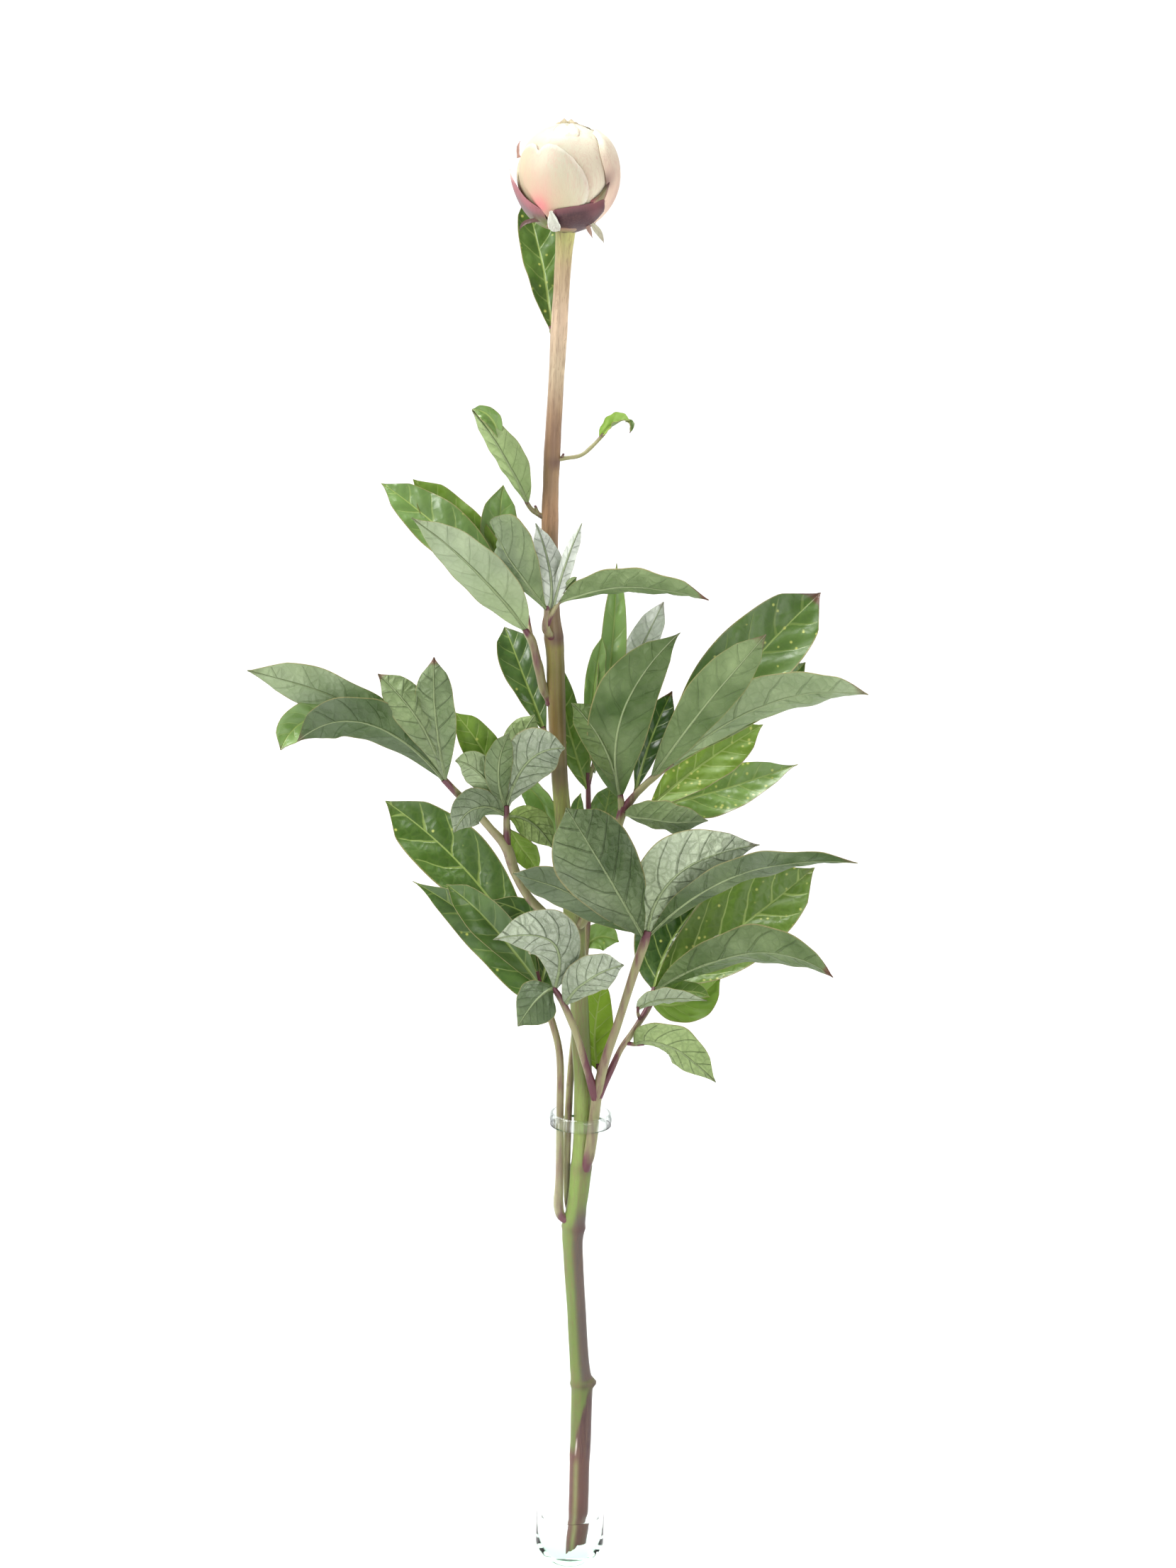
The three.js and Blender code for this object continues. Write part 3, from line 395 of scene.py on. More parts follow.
# Each compound leaf: its stalks, each point [x, height, y, radius], and its blades, each
# [base, middle, tip, width, widest at, upper side faces, at the tip, folds left and right, roll, wave]
leafTable = {
  "leaf_bract": {"stalks": [
    [[-17, 542, 1, 1.2], [-19.4, 543.5, 3.5, 1.1], [-20.8, 548, 5.5, 0.8]],
  ], "blades": [
    [[-20.4, 545.4, 4.5], [-24.4, 571, 13], [-32.4, 601, 24], 18, 0.6, [0.25, -1, 0.3], None, 12, 8, 10, 0.6],
  ]},
  "leaf_small_right": {"stalks": [
    [[-17.5, 493, 0, 1.1], [-13, 493.6, -0.5, 0.9], [-7, 495, -1, 0.8], [-2.4, 499, -1.5, 0.8],
     [2, 504, -2, 0.7]],
    [[-15, 493.4, -0.5, 0.7], [-14.2, 495.4, -0.8, 0.4]],
  ], "blades": [
    [[0.4, 501.5, -1.8], [6, 508.4, -2.6], [12.6, 509.8, -3.4], 8.5, 0.5, [-0.4, -0.6, 0.7], [0, -0.4, 0.9],
     30, 34, 10, 0.2],
    [[11, 509.9, -3.2], [12.8, 508.2, -4.2], [12.6, 504.6, -4.8], 3, 0.4, [0.6, -0.8, 0], None, 20, 20, 30,
     0],
  ]},
  "leaf_small_left": {"stalks": [
    [[-19.5, 467.5, 0, 1.2], [-23.4, 469.5, -1, 1.1], [-27, 472, -2, 1], [-29.6, 476, -3, 0.8]],
    [[-24, 469.6, -1, 0.9], [-25.4, 473.4, -1.4, 0.5]],
  ], "blades": [
    [[-28.6, 473.5, -2.6], [-37.4, 491.6, -7], [-52, 512.5, -5], 15.5, 0.55, [0.2, 1, 0.3], [0.5, 0.8, -0.3],
     18, 25, 20, 0.4],
    [[-40.8, 500.8, -8.6], [-44.6, 509.6, -8.8], [-52, 512.8, -7.6], 7.5, 0.5, [0.3, -1, 0.4], None, 10, 14,
     20, 0],
  ]},
  "leaf_top_front": {"stalks": [
    [[-17, 418, -2, 1.6], [-19.6, 421.5, -6, 1.8], [-19.4, 427, -8, 1.5], [-19, 432, -9, 1.1]],
    [[-19.4, 423, -7, 1.1], [-17.4, 428, -9.4, 1], [-15.4, 432, -10.6, 0.9], [-12, 434.8, -12, 0.7]],
  ], "blades": [
    [[-19.2, 429, -8.6], [-34, 449, -14.5], [-43.6, 466, -10], 28, 0.72, [0.1, 1, 0.2], [0.1, 0.7, 0.7], 10,
     26, 10, 0.5],
    [[-18.6, 430, -9], [-18.6, 446, -11.6], [-25, 466, -8.6], 13, 0.5, [-0.3, 1, 0.2], None, 14, 14, 10, 0.4],
    [[-17, 430, -9.6], [-13, 447, -15], [-6, 466.5, -18], 7.5, 0.5, [0.4, 1, 0.2], None, 20, 40, 0, 0.2],
    [[-14.8, 432.5, -10.8], [13, 440, -23], [47, 435.6, -32], 22, 0.56, [0, 0.75, 0.66], [0.2, 0.6, 0.75], 16,
     10, 16, 0.6],
    [[-13.4, 437, -13], [-10.6, 441, -15.4], [-7.6, 443.8, -17], 2.8, 0.6, [0.3, 1, 0.2], None, 10, 10, 0, 0],
  ]},
  "leaf_top_left": {"stalks": [
    [[-16.6, 390, 0, 1.8], [-20, 396, -1.2, 1.9], [-22.4, 405, -2.6, 1.8], [-25.2, 416, -4, 1.8],
     [-28.4, 421.4, -5, 1.2]],
    [[-24.6, 413.6, -3.4, 1.1], [-26.4, 421, 0, 1], [-27.4, 427, 4.5, 0.8]],
    [[-24, 413, -3, 1.2], [-27, 418, 1, 1.1], [-31, 425.5, 4, 0.8]],
  ], "blades": [
    [[-28, 420.6, -5], [-48.6, 444.6, -16], [-76, 467, -20], 21.5, 0.46, [0.15, 1, 0.2], [0, 0.9, 0.4], 12, 9,
     8, 0.6],
    [[-29.5, 422, 3], [-58.5, 457, 9], [-88.5, 481, 18], 22, 0.55, [0.2, -1, 0.4], [0.1, -0.9, 0.5], 13, 12,
     12, 0.7],
    [[-27.4, 426.2, 4], [-51, 455.5, 13], [-75.5, 483, 18], 22, 0.6, [0.3, -1, 0.3], None, 10, 16, 12, 0.7],
    [[-27.2, 425.6, 3.6], [-38, 452, 12], [-38.6, 481.6, 16], 16.5, 0.66, [0.1, -1, 0.2], None, 12, 12, 10,
     0.6],
  ]},
  "leaf_behind_left": {"stalks": [
    [[-14, 372, 3, 1.3], [-17, 374, 6, 1.2], [-20, 380, 8, 0.9]],
  ], "blades": [
    [[-18.6, 376.5, 7.2], [-27.8, 400, 12], [-36.8, 422, 19], 17.5, 0.64, [0.2, -1, 0.2], None, 10, 14, 12,
     0.6],
  ]},
  "leaf_right_back": {"stalks": [
    [[-1.5, 166, 1.6, 1.4], [-4.6, 172, 2.6, 1.4], [-5.4, 186, 2.6, 1.5], [-5.4, 206, 2.8, 1.6],
     [-4.6, 232, 7.4, 1.6], [-2.4, 258, 12.6, 1.5], [0.2, 284, 13.4, 1.4], [0.8, 310, 12.4, 1.3],
     [0, 338, 11.2, 1.2], [-0.8, 361, 11.4, 1.1]],
    [[-0.4, 356, 10.8, 0.9], [1.6, 366, 12.6, 0.8]],
    [[0.8, 320, 12, 0.8], [2.6, 330, 12.6, 0.8]],
    [[0.6, 320, 12, 0.8], [-3, 328, 12.8, 0.8]],
  ], "blades": [
    [[-1, 354, 10.6], [-9.4, 380, 10.6], [-16.5, 411, 9], 14, 0.5, [0.25, -1, 0.15], None, 18, 12, 10, 0.5],
    [[-0.6, 360, 11], [0.6, 394, 17], [3.6, 419, 19], 8.6, 0.6, [0, -1, 0.2], None, 16, 16, 10, 0.4],
    [[1, 362, 11.6], [7, 405, 20], [8.7, 450, 27], 12, 0.55, [0.1, -1, 0.2], None, 24, 10, 8, 0.4],
    [[1.4, 361, 11.4], [14.6, 401, 24], [28.4, 434.4, 26], 13.5, 0.66, [0, 1, 0.2], None, 12, 12, 10, 0.5],
    [[2.2, 328, 12.5], [6.5, 343, 14], [8.6, 355.5, 15], 13, 0.62, [0, -1, 0.3], None, 12, 12, 10, 0.4],
    [[-2.4, 326.8, 12.6], [-5, 340, 13.2], [-3.6, 352, 13.8], 7, 0.5, [0, -1, 0.3], None, 14, 14, 8, 0.2],
    [[0.2, 285, 13.4], [6, 290, 14], [14, 288, 14.2], 12.5, 0.5, [0, -1, 0.3], None, 10, 12, 10, 0.3],
  ]},
  "leaf_right": {"stalks": [
    [[-5, 293, -1, 1.9], [-0.6, 298, -3.4, 2], [5, 315, -5, 1.8], [11.5, 336, -7, 1.9], [14.6, 347, -8, 2.1]],
    [[13.8, 344, -7.8, 1.7], [12.8, 352, -9, 1.2]],
    [[14, 345, -8, 1.8], [20, 353, -9, 1.5], [26, 359, -9.4, 1.4], [34, 366, -10, 1]],
    [[20, 353, -9, 1.1], [26, 359.6, -4, 1.2], [35, 366.5, 1, 1.1], [42, 370, 3, 0.8]],
    [[14, 344, -7.6, 1.3], [19, 345.5, 0, 1.2], [25, 346.5, 6, 1], [32, 350, 9, 0.8]],
  ], "blades": [
    [[12.9, 350, -8.6], [13, 387, -18], [35.6, 421.6, -18], 27, 0.48, [0, 1, 0.2], None, 10, 12, 8, 0.6],
    [[12.6, 352, -9], [4.6, 374, -15], [-8.4, 390.4, -13], 15, 0.6, [-0.2, 1, 0.2], None, 8, 14, 8, 0.4],
    [[25, 358, -8.4], [45.6, 389, -20], [71, 421.8, -26], 21, 0.6, [0.1, 1, 0.1], [0, 0.9, 0.4], 12, 14, 16,
     0.6],
    [[26, 358.6, -5], [59, 402, 5], [92.8, 440, 17], 34, 0.6, [-0.2, -1, 0.3], [0, -0.9, 0.4], 13, 12, 9,
     0.9],
    [[33, 365, -9.8], [73, 392, -18], [114, 397.4, -28], 25, 0.58, [0, 0.9, 0.5], [0.1, 0.6, 0.8], 10, 22, 14,
     0.6],
    [[40, 369, 2.6], [70, 392.6, 10], [87.6, 410.4, 13], 13, 0.6, [-0.2, -1, 0.3], None, 12, 12, 8, 0.4],
    [[19, 353, -8], [24.6, 375, -5], [33, 396.6, -4], 12, 0.62, [0, -1, 0.2], None, 16, 16, 8, 0.3],
    [[14.4, 343.5, -8.4], [31, 341, -15.5], [49.6, 341.6, -18], 18.5, 0.5, [0, 0.9, 0.5], None, 12, 12, 10,
     0.5],
    [[25, 346.5, 5.6], [47, 366, 12.4], [71, 383.4, 15], 21, 0.55, [-0.2, -1, 0.4], None, 12, 12, 10, 0.6],
    [[25, 345.8, 5.6], [52, 354, 17.4], [86, 366.8, 25], 23.5, 0.42, [-0.1, -1, 0.6], None, 12, 14, 10, 0.7],
  ]},
  "leaf_low_right": {"stalks": [
    [[1.8, 187, -1, 1.6], [3.7, 193, -4.6, 2.4], [5.2, 206, -5, 2.2], [6.8, 222, -7.8, 2.3],
     [9.8, 237, -12, 1.9], [14.4, 252, -14, 1.8], [20.4, 274, -17, 1.8], [24.6, 288, -19, 2],
     [26, 293.4, -19.6, 1.6]],
    [[6.2, 219, -7.2, 1.9], [1.4, 234, -12, 1.6], [-2.8, 247, -14.4, 1.5], [-8.4, 260, -16.6, 1.5],
     [-13, 267.4, -17.6, 1.1]],
    [[7, 220, -7.4, 1.8], [11.8, 231, -7.6, 1.4], [16, 241, -6.4, 1.3], [20.4, 248, -5, 1.3],
     [27, 259.6, -1, 1.4], [29.6, 268.4, 3, 1.3]],
    [[18, 244, -5.8, 1], [21.6, 243.4, -7, 0.9], [25.6, 243.6, -8.6, 0.7]],
    [[24, 254, -2.9, 0.9], [22.8, 257, -5, 0.7], [22.8, 260, -7, 0.6]],
    [[6.8, 220.4, -7.4, 1.4], [7.6, 227, -4, 1.1], [6.6, 234, 1.6, 0.9]],
  ], "blades": [
    [[24, 290.6, -19.4], [7, 319, -31], [-9.6, 345.6, -33], 35, 0.56, [-0.3, 1, 0.2], None, 8, 9, 12, 0.8],
    [[22, 292, -19.6], [-4, 307, -28], [-31, 316.6, -31], 20, 0.56, [-0.2, 1, 0.1], [0, 0.8, 0.6], 10, 4, 6,
     0.6],
    [[25.6, 291.4, -19.4], [38.4, 318.6, -27], [71.4, 331.8, -30], 30, 0.46, [0.1, 1, 0.2], None, 11, 9, 10,
     0.7],
    [[27, 291.4, -19], [64, 318.6, -36], [112.4, 325, -46], 17, 0.55, [0, 0.9, 0.45], [0.1, 0.6, 0.8], 14, 14,
     14, 0.8],
    [[-12.4, 266.6, -17.2], [-14.4, 287.6, -26], [-38.6, 287.6, -27], 24, 0.5, [-0.1, 1, 0.1], None, 10, 12,
     14, 0.5],
    [[-8, 259.6, -16.6], [1.4, 271, -24], [16.4, 278, -26], 18, 0.54, [0.1, 1, 0.2], None, 10, 12, 10, 0.4],
    [[-12.8, 267, -17.2], [-19.6, 262, -20.4], [-27.4, 250, -18], 20, 0.54, [0.3, 0.9, -0.2], None, 12, 12, 8,
     0.4],
    [[29.4, 267.6, 2.6], [61, 293, 13], [94.6, 322.6, 21], 36, 0.56, [-0.3, -1, 0.4], None, 12, 10, 8, 0.9],
    [[29.2, 267.8, 2.8], [38, 293, 15.6], [57, 317, 21], 36, 0.5, [-0.2, -1, 0.3], None, 10, 12, 10, 0.9],
    [[29.6, 267, 2], [69.6, 284.8, -11], [104, 275, -22], 25, 0.52, [-0.1, 0.9, 0.5], [0.3, 0.8, 0.5], 16, 12,
     12, 0.8],
    [[22.6, 258.8, -6.2], [34, 263.6, -9.6], [51.6, 263.4, -11.6], 10, 0.42, [0, 0.9, 0.5], None, 14, 14, 10,
     0.2],
    [[28.4, 262.6, 0.8], [41.6, 267, 0.6], [52.6, 265, -1], 9, 0.5, [0, -0.8, 0.6], None, 16, 16, 10, 0.3],
    [[22, 243, -7.4], [36, 243, -15], [56.4, 227.6, -18], 21.5, 0.5, [0, 0.9, 0.4], None, 12, 12, 12, 0.5],
    [[6.8, 232, 0.4], [5, 250, 4.4], [8.4, 273, 6.4], 16, 0.5, [0, -1, 0.2], None, 10, 14, 8, 0.4],
    [[28.4, 262.4, 1.4], [42, 262, 10], [57, 274, 13], 19.5, 0.56, [-0.2, -1, 0.4], None, 12, 12, 10, 0.6],
  ]},
  "leaf_low_left": {"stalks": [
    [[-2, 163.4, -1, 1.4], [-7, 166.4, -1.2, 2], [-8.5, 172, -1, 2.1], [-8.4, 179, -1, 1.8],
     [-8.4, 190, -0.8, 1.7], [-8.8, 212, -0.8, 1.5], [-9.4, 236, 0.6, 1.6], [-12.4, 250, 2.6, 1.5],
     [-17, 262, 5, 1.6], [-20.4, 274, 8, 1.3]],
  ], "blades": [
    [[-19.4, 271, 7], [-46.4, 312.6, 20], [-84.6, 346.4, 31], 29, 0.63, [0.3, -1, 0.3], None, 12, 12, 9, 0.9],
    [[-15.6, 259, 4.4], [-37, 287.2, 12], [-72.6, 312, 14], 24.5, 0.4, [0.2, -1, 0.3], None, 10, 12, 9, 0.8],
    [[-19, 268, 6], [-39, 293.4, 3], [-58.6, 311, 3], 16.5, 0.56, [0.3, -1, 0.2], None, 10, 14, 8, 0.5],
    [[-18.6, 268, 6.4], [-19, 292.6, 13], [-40, 304.4, 14], 14, 0.6, [0.2, -1, 0.3], None, 10, 12, 8, 0.5],
  ]},
  "leaf_left": {"stalks": [
    [[-4.5, 288, -1, 1.9], [-10, 292.6, -4.6, 2], [-18, 300, -6, 1.9], [-25, 307.6, -7, 1.9],
     [-30.6, 318.4, -8, 2.2], [-34, 328, -10, 2.3], [-40.6, 335.6, -12, 1.7], [-47.6, 343.6, -14, 1.7],
     [-55, 350.6, -16, 1.6], [-60.6, 356.4, -17, 1.4]],
    [[-33.6, 326.6, -9.8, 1.7], [-34.2, 338, -12, 1.3], [-34.4, 346, -13.4, 1.1]],
    [[-33, 325.4, -9.4, 1.1], [-33.4, 336, -5, 1], [-34.4, 347, -3.4, 1], [-36.6, 353.6, -3, 0.8]],
    [[-34.2, 345, -3.6, 0.9], [-32.4, 352, -2, 0.9], [-30, 356.4, -0.6, 0.8]],
  ], "blades": [
    [[-60.1, 355.7, -16.7], [-94, 383.8, -24], [-142.6, 400.6, -30], 22, 0.62, [0.1, 1, 0.3], [0, 0.9, 0.4],
     10, 12, 8, 0.8],
    [[-60.6, 355.8, -17.2], [-92.4, 379.4, -32], [-121.6, 371, -35], 21, 0.56, [0, 1, 0.1], [0, 1, 0.3], 10,
     14, 12, 0.5],
    [[-96, 379.4, -31.6], [-116.6, 380.6, -30], [-128.4, 367, -33.4], 15.5, 0.58, [-0.1, -1, 0.4], None, 10,
     14, 14, 0.3],
    [[-59.8, 355.6, -17.2], [-64.4, 382, -30], [-65.6, 408.4, -29], 17, 0.56, [0.1, 1, 0.1], None, 12, 10, 8,
     0.5],
    [[-60.9, 357.6, -17.8], [-71.4, 381, -30], [-88.6, 400.6, -27.6], 16, 0.62, [-0.2, 1, 0.1], None, 8, 12,
     8, 0.4],
    [[-34.4, 345.4, -13], [-25.4, 365, -21], [-10.6, 371, -24], 22.5, 0.55, [0.2, 1, 0.2], None, 12, 10, 12,
     0.5],
    [[-34.6, 345, -13], [-38, 360.4, -19.6], [-34, 377, -21], 12, 0.58, [-0.2, 1, 0.1], None, 10, 14, 6, 0.3],
    [[-34.8, 344, -13], [-45.4, 359, -17], [-56, 364.4, -16], 14, 0.56, [-0.2, 1, 0.2], None, 10, 10, 8, 0.3],
    [[-34.6, 341.6, -12.8], [-46.6, 344.6, -17.6], [-56, 333.6, -18], 16.5, 0.54, [0, 1, 0.1], None, 12, 12,
     8, 0.4],
    [[-34, 343, -12.6], [-31.4, 367, -13], [-23.4, 385, -12], 15, 0.6, [0.1, 1, 0.1], None, 8, 10, 8, 0.4],
    [[-36, 352, -3], [-44.4, 368.6, -3], [-56.4, 385, -1], 16, 0.56, [0.2, -1, 0.3], None, 12, 12, 10, 0.5],
    [[-30.6, 355.6, -0.8], [-21, 349.6, 2.6], [-13.4, 330, 5], 12, 0.5, [-0.4, -1, 0.1], None, 14, 14, 8,
     0.3],
    [[-33.6, 341, -4.4], [-23.4, 338.4, -4.6], [-14.6, 328, -4.2], 14.5, 0.5, [-0.2, 1, 0.1], None, 10, 10, 8,
     0.3],
    [[-33.4, 336, -5], [-27.6, 328, -1], [-20.4, 318, 1], 12, 0.54, [-0.3, -1, 0.1], None, 10, 10, 8, 0.3],
  ]},
}

# ---- leaf finishes ----

leafSet = {
    "depth": 1.7,  # blades reach this much further forward and back than the table says
    "thickness": 0.34,
    "stationGap": 1.6,  # mm between rows of the mesh
    "laneGap": 1.25,
    "pointShare": 0.13,  # of the length
    "taper": 1.7,
    "leastHalf": (0.75, 0.12),  # mm, half width at the stalk and at the tip
    "fullWidth": 12,  # narrower blades are smoother
    "lopsided": 0.05,
    "unevenEdge": 0.035,
    "foldShare": 0.12,  # of the half width, over which the fold along the rib turns
    "waves": 2.2,  # along the blade
    "quilt": 1.0,  # how far the blade bulges between side veins
    "ripple": 0.5,
    "ripples": 4.3,
    "billow": 1.4,
    "rib": 0.45,  # height of the middle rib under the blade
    "ribLane": 0.045,
    "veinsPerBlade": 6.2,
    "leastVeinGap": 4.5,
    "veinLean": 0.85,  # of the side veins towards the tip, and their bend
    "veinBend": 0.03,
    "leftShift": 0.43,  # veins on the left stand between those on the right
    "netCells": (240.0, 620.0, 380.0),  # a metre, in the net of veins, in the finer net and of spots
    "wobble": 0.35,  # of the side veins
    "veinFade": (0.82, 0.97),  # they end before the margin
    "veinWidth": (0.045, -0.032),  # in vein gaps, at the rib and change to the margin
    "ribWidth": (0.66, -0.5),  # mm, at the foot and change to the tip
    "netLine": (0.02, 0.13),
    "marginBand": (0.955, 0.985),
    "dryFrom": (0.9, 0.82),  # along the blade and out to its margin
    # the first colour on each side is a painted glow of light through backlit blades
    "upperPaintedBacklight": (0.30, 0.50, 0.015),
    "upperVein": (0.46, 0.60, 0.16),
    "underPaintedBacklight": (0.40, 0.56, 0.12),
    "underVein": (0.06, 0.10, 0.025),
    "underRib": (0.36, 0.45, 0.22),
    # colour of a painted silver sheen
    "paintedSilverSheen": (0.82, 0.86, 0.78),
    "spot": (0.62, 0.66, 0.16),
    "margin": (0.36, 0.30, 0.12),
    "dry": (0.15, 0.055, 0.035),
}

# Both sides of a blade; coats are (share, strength, colour), one over the other. The first coat of each side
# is a painted glow of light through backlit blades.
leafSides = {
    "leafUpper": {
        "dark": (0.026, 0.07, 0.009),
        "light": (0.34, 0.55, 0.15),
        "clouds": (38, 0.6),  # scale and strength of lighter and darker patches
        # the sheen coat paints a silver sheen in patches
        "coats": [("sun", 1, "upperPaintedBacklight"), ("paintedSheen", 0.12, "paintedSilverSheen"), ("net", 0.10, "upperVein"),
                  ("veins", 0.7, "upperVein"), ("spots", 1, "spot"), ("edge", 1, "margin"),
                  ("dry", 1, "dry")],
        "through": (0.16, 0.36, 0.02),  # for light from behind
        "throughCoats": [("veins", 0.6, "upperVein"), ("spots", 1, "spot"), ("dry", 1, "dry")],
        "throughShare": 0.34,
        "relief": [("pillow", 0.9), ("rough", 0.5), ("veins", -0.8)],
        "bump": (0.4, 0.0005),
        "roughness": (0.25, [("rough", 0.18), ("sun", 0.35)]),
        "specular": 0.8,
    },
    "leafUnder": {
        "dark": (0.052, 0.097, 0.017),
        "light": (0.52, 0.65, 0.32),
        "clouds": (45, 1),
        # the silver coat paints a silver sheen
        "coats": [("sun", 1, "underPaintedBacklight"), ("paintedSilverSheen", 1, "paintedSilverSheen"), ("net", 0.32, "underVein"),
                  ("side", 0.5, "underVein"), ("rib", 0.8, "underRib"), ("edge", 1, "margin"),
                  ("dry", 1, "dry")],
        "through": (0.22, 0.38, 0.08),
        "throughCoats": [("veins", 0.7, "underVein"), ("dry", 1, "dry")],
        "throughShare": 0.3,
        "relief": [("pillow", -0.9), ("rough", 0.6), ("veins", 1), ("net", 0.3)],
        "bump": (0.9, 0.0008),
        "roughness": (0.42, [("rough", 0.16)]),
        "specular": 0.45,
    },
}


def leafPattern(tree):  # the shares that both sides are coloured by
    tint = pointValue(tree, "tint")
    parts = addNode(tree, "SeparateColor", {0: tint["Color"]}).outputs
    across, phase = mapParts(tree, "grain")
    sideways, along = mapParts(tree, "shape")
    crisp = pointValue(tree, "crisp")["Fac"]
    margin = calc(tree, "ABSOLUTE", sideways)

    wobble = sway(tree, mottle(tree, 90, 2), leafSet["wobble"])
    leftShift = times(tree, calc(tree, "LESS_THAN", across, 0), leafSet["leftShift"])
    phase = plus(tree, plus(tree, phase, wobble), leftShift)
    off = calc(tree, "ABSOLUTE", minus(tree, calc(tree, "FRACT", phase), 0.5))
    start, change = leafSet["veinWidth"]
    wide = timesPlus(tree, margin, change, start)
    sideVein = falling(tree, minus(tree, minus(tree, 0.5, off), wide), -0.015, 0.03)
    sideVein = times(tree, sideVein, falling(tree, margin, *leafSet["veinFade"]))
    sideVein = times(tree, sideVein, crisp)
    start, change = leafSet["ribWidth"]
    wide = timesPlus(tree, along, change, start)
    rib = falling(tree, minus(tree, calc(tree, "ABSOLUTE", across), wide), -0.15, 0.2)

    net, fine, dots = [cells(tree, scale, feature=feature) for scale, feature in
                       zip(leafSet["netCells"], ("DISTANCE_TO_EDGE", "DISTANCE_TO_EDGE", "F1"))]
    netLine = times(tree, falling(tree, net["Distance"], *leafSet["netLine"]), 0.8)
    netLine = timesPlus(tree, falling(tree, fine["Distance"], 0.02, 0.14), 0.35, netLine, clamp=True)
    chance = addNode(tree, "SeparateColor", {0: dots["Color"]}).outputs[0]
    chosen = calc(tree, "LESS_THAN", chance, times(tree, tint["Alpha"], 0.5))

    rough = mottle(tree, 140, 4)
    # patches of painted sheen, stronger towards the tip
    paintedSheen = times(tree, rising(tree, mottle(tree, 17, 2), 0.5, 0.7), along)
    tipStart, marginStart = leafSet["dryFrom"]
    nearTip = times(tree, minus(tree, along, tipStart), 9)
    nearMargin = calc(tree, "MAXIMUM", minus(tree, margin, marginStart), 0)
    tipEnd = timesPlus(tree, nearMargin, 2.2, nearTip)
    dry = rising(tree, plus(tree, tipEnd, sway(tree, rough, 1)), 0.3, 0.75)
    return {
        "light": parts[0],
        # share of painted glow of light through the blade
        "sun": parts[1],
        "dry": times(tree, parts[2], dry),
        # painted silver sheen, from the sheen patches and the blade's own share
        "paintedSilverSheen": timesPlus(tree, paintedSheen, 0.26, tint["Alpha"], clamp=True),
        "side": sideVein,
        "rib": rib,
        "veins": calc(tree, "MAXIMUM", sideVein, rib),
        "net": times(tree, netLine, crisp),
        "pillow": times(tree, rising(tree, net["Distance"], 0.0, 0.45), crisp),
        "paintedSheen": paintedSheen,
        "spots": times(tree, chosen, falling(tree, dots["Distance"], 0.1, 0.34)),
        "edge": times(tree, rising(tree, margin, *leafSet["marginBand"]), 0.75),
        "rough": rough,
    }


def coated(tree, shares, colour, coats):
    for share, strength, tone in coats:
        colour = blendColours(tree, times(tree, shares[share], strength), colour, leafSet[tone])
    return colour


def summed(tree, shares, terms, total=0.0):
    for share, weight in terms:
        total = timesPlus(tree, shares[share], weight, total)
    return total


def bladeSkin(name):
    side = leafSides[name]
    material, tree = newMaterial(name)
    shares = leafPattern(tree)
    scale, strength = side["clouds"]
    light = plus(tree, shares["light"], sway(tree, mottle(tree, scale), strength), clamp=True)
    colour = blendColours(tree, light, side["dark"], side["light"])
    colour = coated(tree, shares, colour, side["coats"])
    through = coated(tree, shares, side["through"], side["throughCoats"])
    relief = (summed(tree, shares, side["relief"]), *side["bump"])
    least, terms = side["roughness"]
    roughness = summed(tree, shares, terms, least)
    finishMaterial(tree, colour, roughness, side["specular"], relief, through, side["throughShare"])
    return material


stalkSet = {
    "sides": 14,
    "steps": 6,
    "groove": 0.16,  # depth of the channel along the upper side
    "green": (0.22, 0.23, 0.09),
    "pale": (0.36, 0.32, 0.17),
    "red": (0.11, 0.028, 0.04),
    "dark": (0.10, 0.06, 0.035),
}


def stalkSkin():
    material, tree = newMaterial("leafStalk")
    parts = addNode(tree, "SeparateColor", {0: pointValue(tree, "tint")["Color"]}).outputs
    streak = mottle(tree, 60, 4, (9, 9, 1.2))
    fleck = mottle(tree, 700, 2, (1, 1, 0.35))
    light = plus(tree, parts[1], sway(tree, streak, 1), clamp=True)
    red = rising(tree, plus(tree, parts[0], sway(tree, streak, 0.8)), 0.25, 0.85)
    colour = blendColours(tree, light, stalkSet["green"], stalkSet["pale"])
    colour = blendColours(tree, red, colour, stalkSet["red"])
    colour = blendColours(tree, times(tree, rising(tree, fleck, 0.62, 0.75), 0.45), colour, stalkSet["dark"])
    finishMaterial(tree, colour, 0.42, 0.5, (timesPlus(tree, fleck, 0.5, streak), 0.3, 0.0003))
    return material


# ---- leaf shapes ----


def bladeOutline(s, peak):  # half width along the blade, 1 at its widest
    if s <= 0 or s >= 1:
        return 0.0
    point = min(1.0, (1 - s) / leafSet["pointShare"]) ** 0.5
    taper = leafSet["taper"]
    return point * (s / peak) ** (taper * peak) * ((1 - s) / (1 - peak)) ** (taper * (1 - peak))


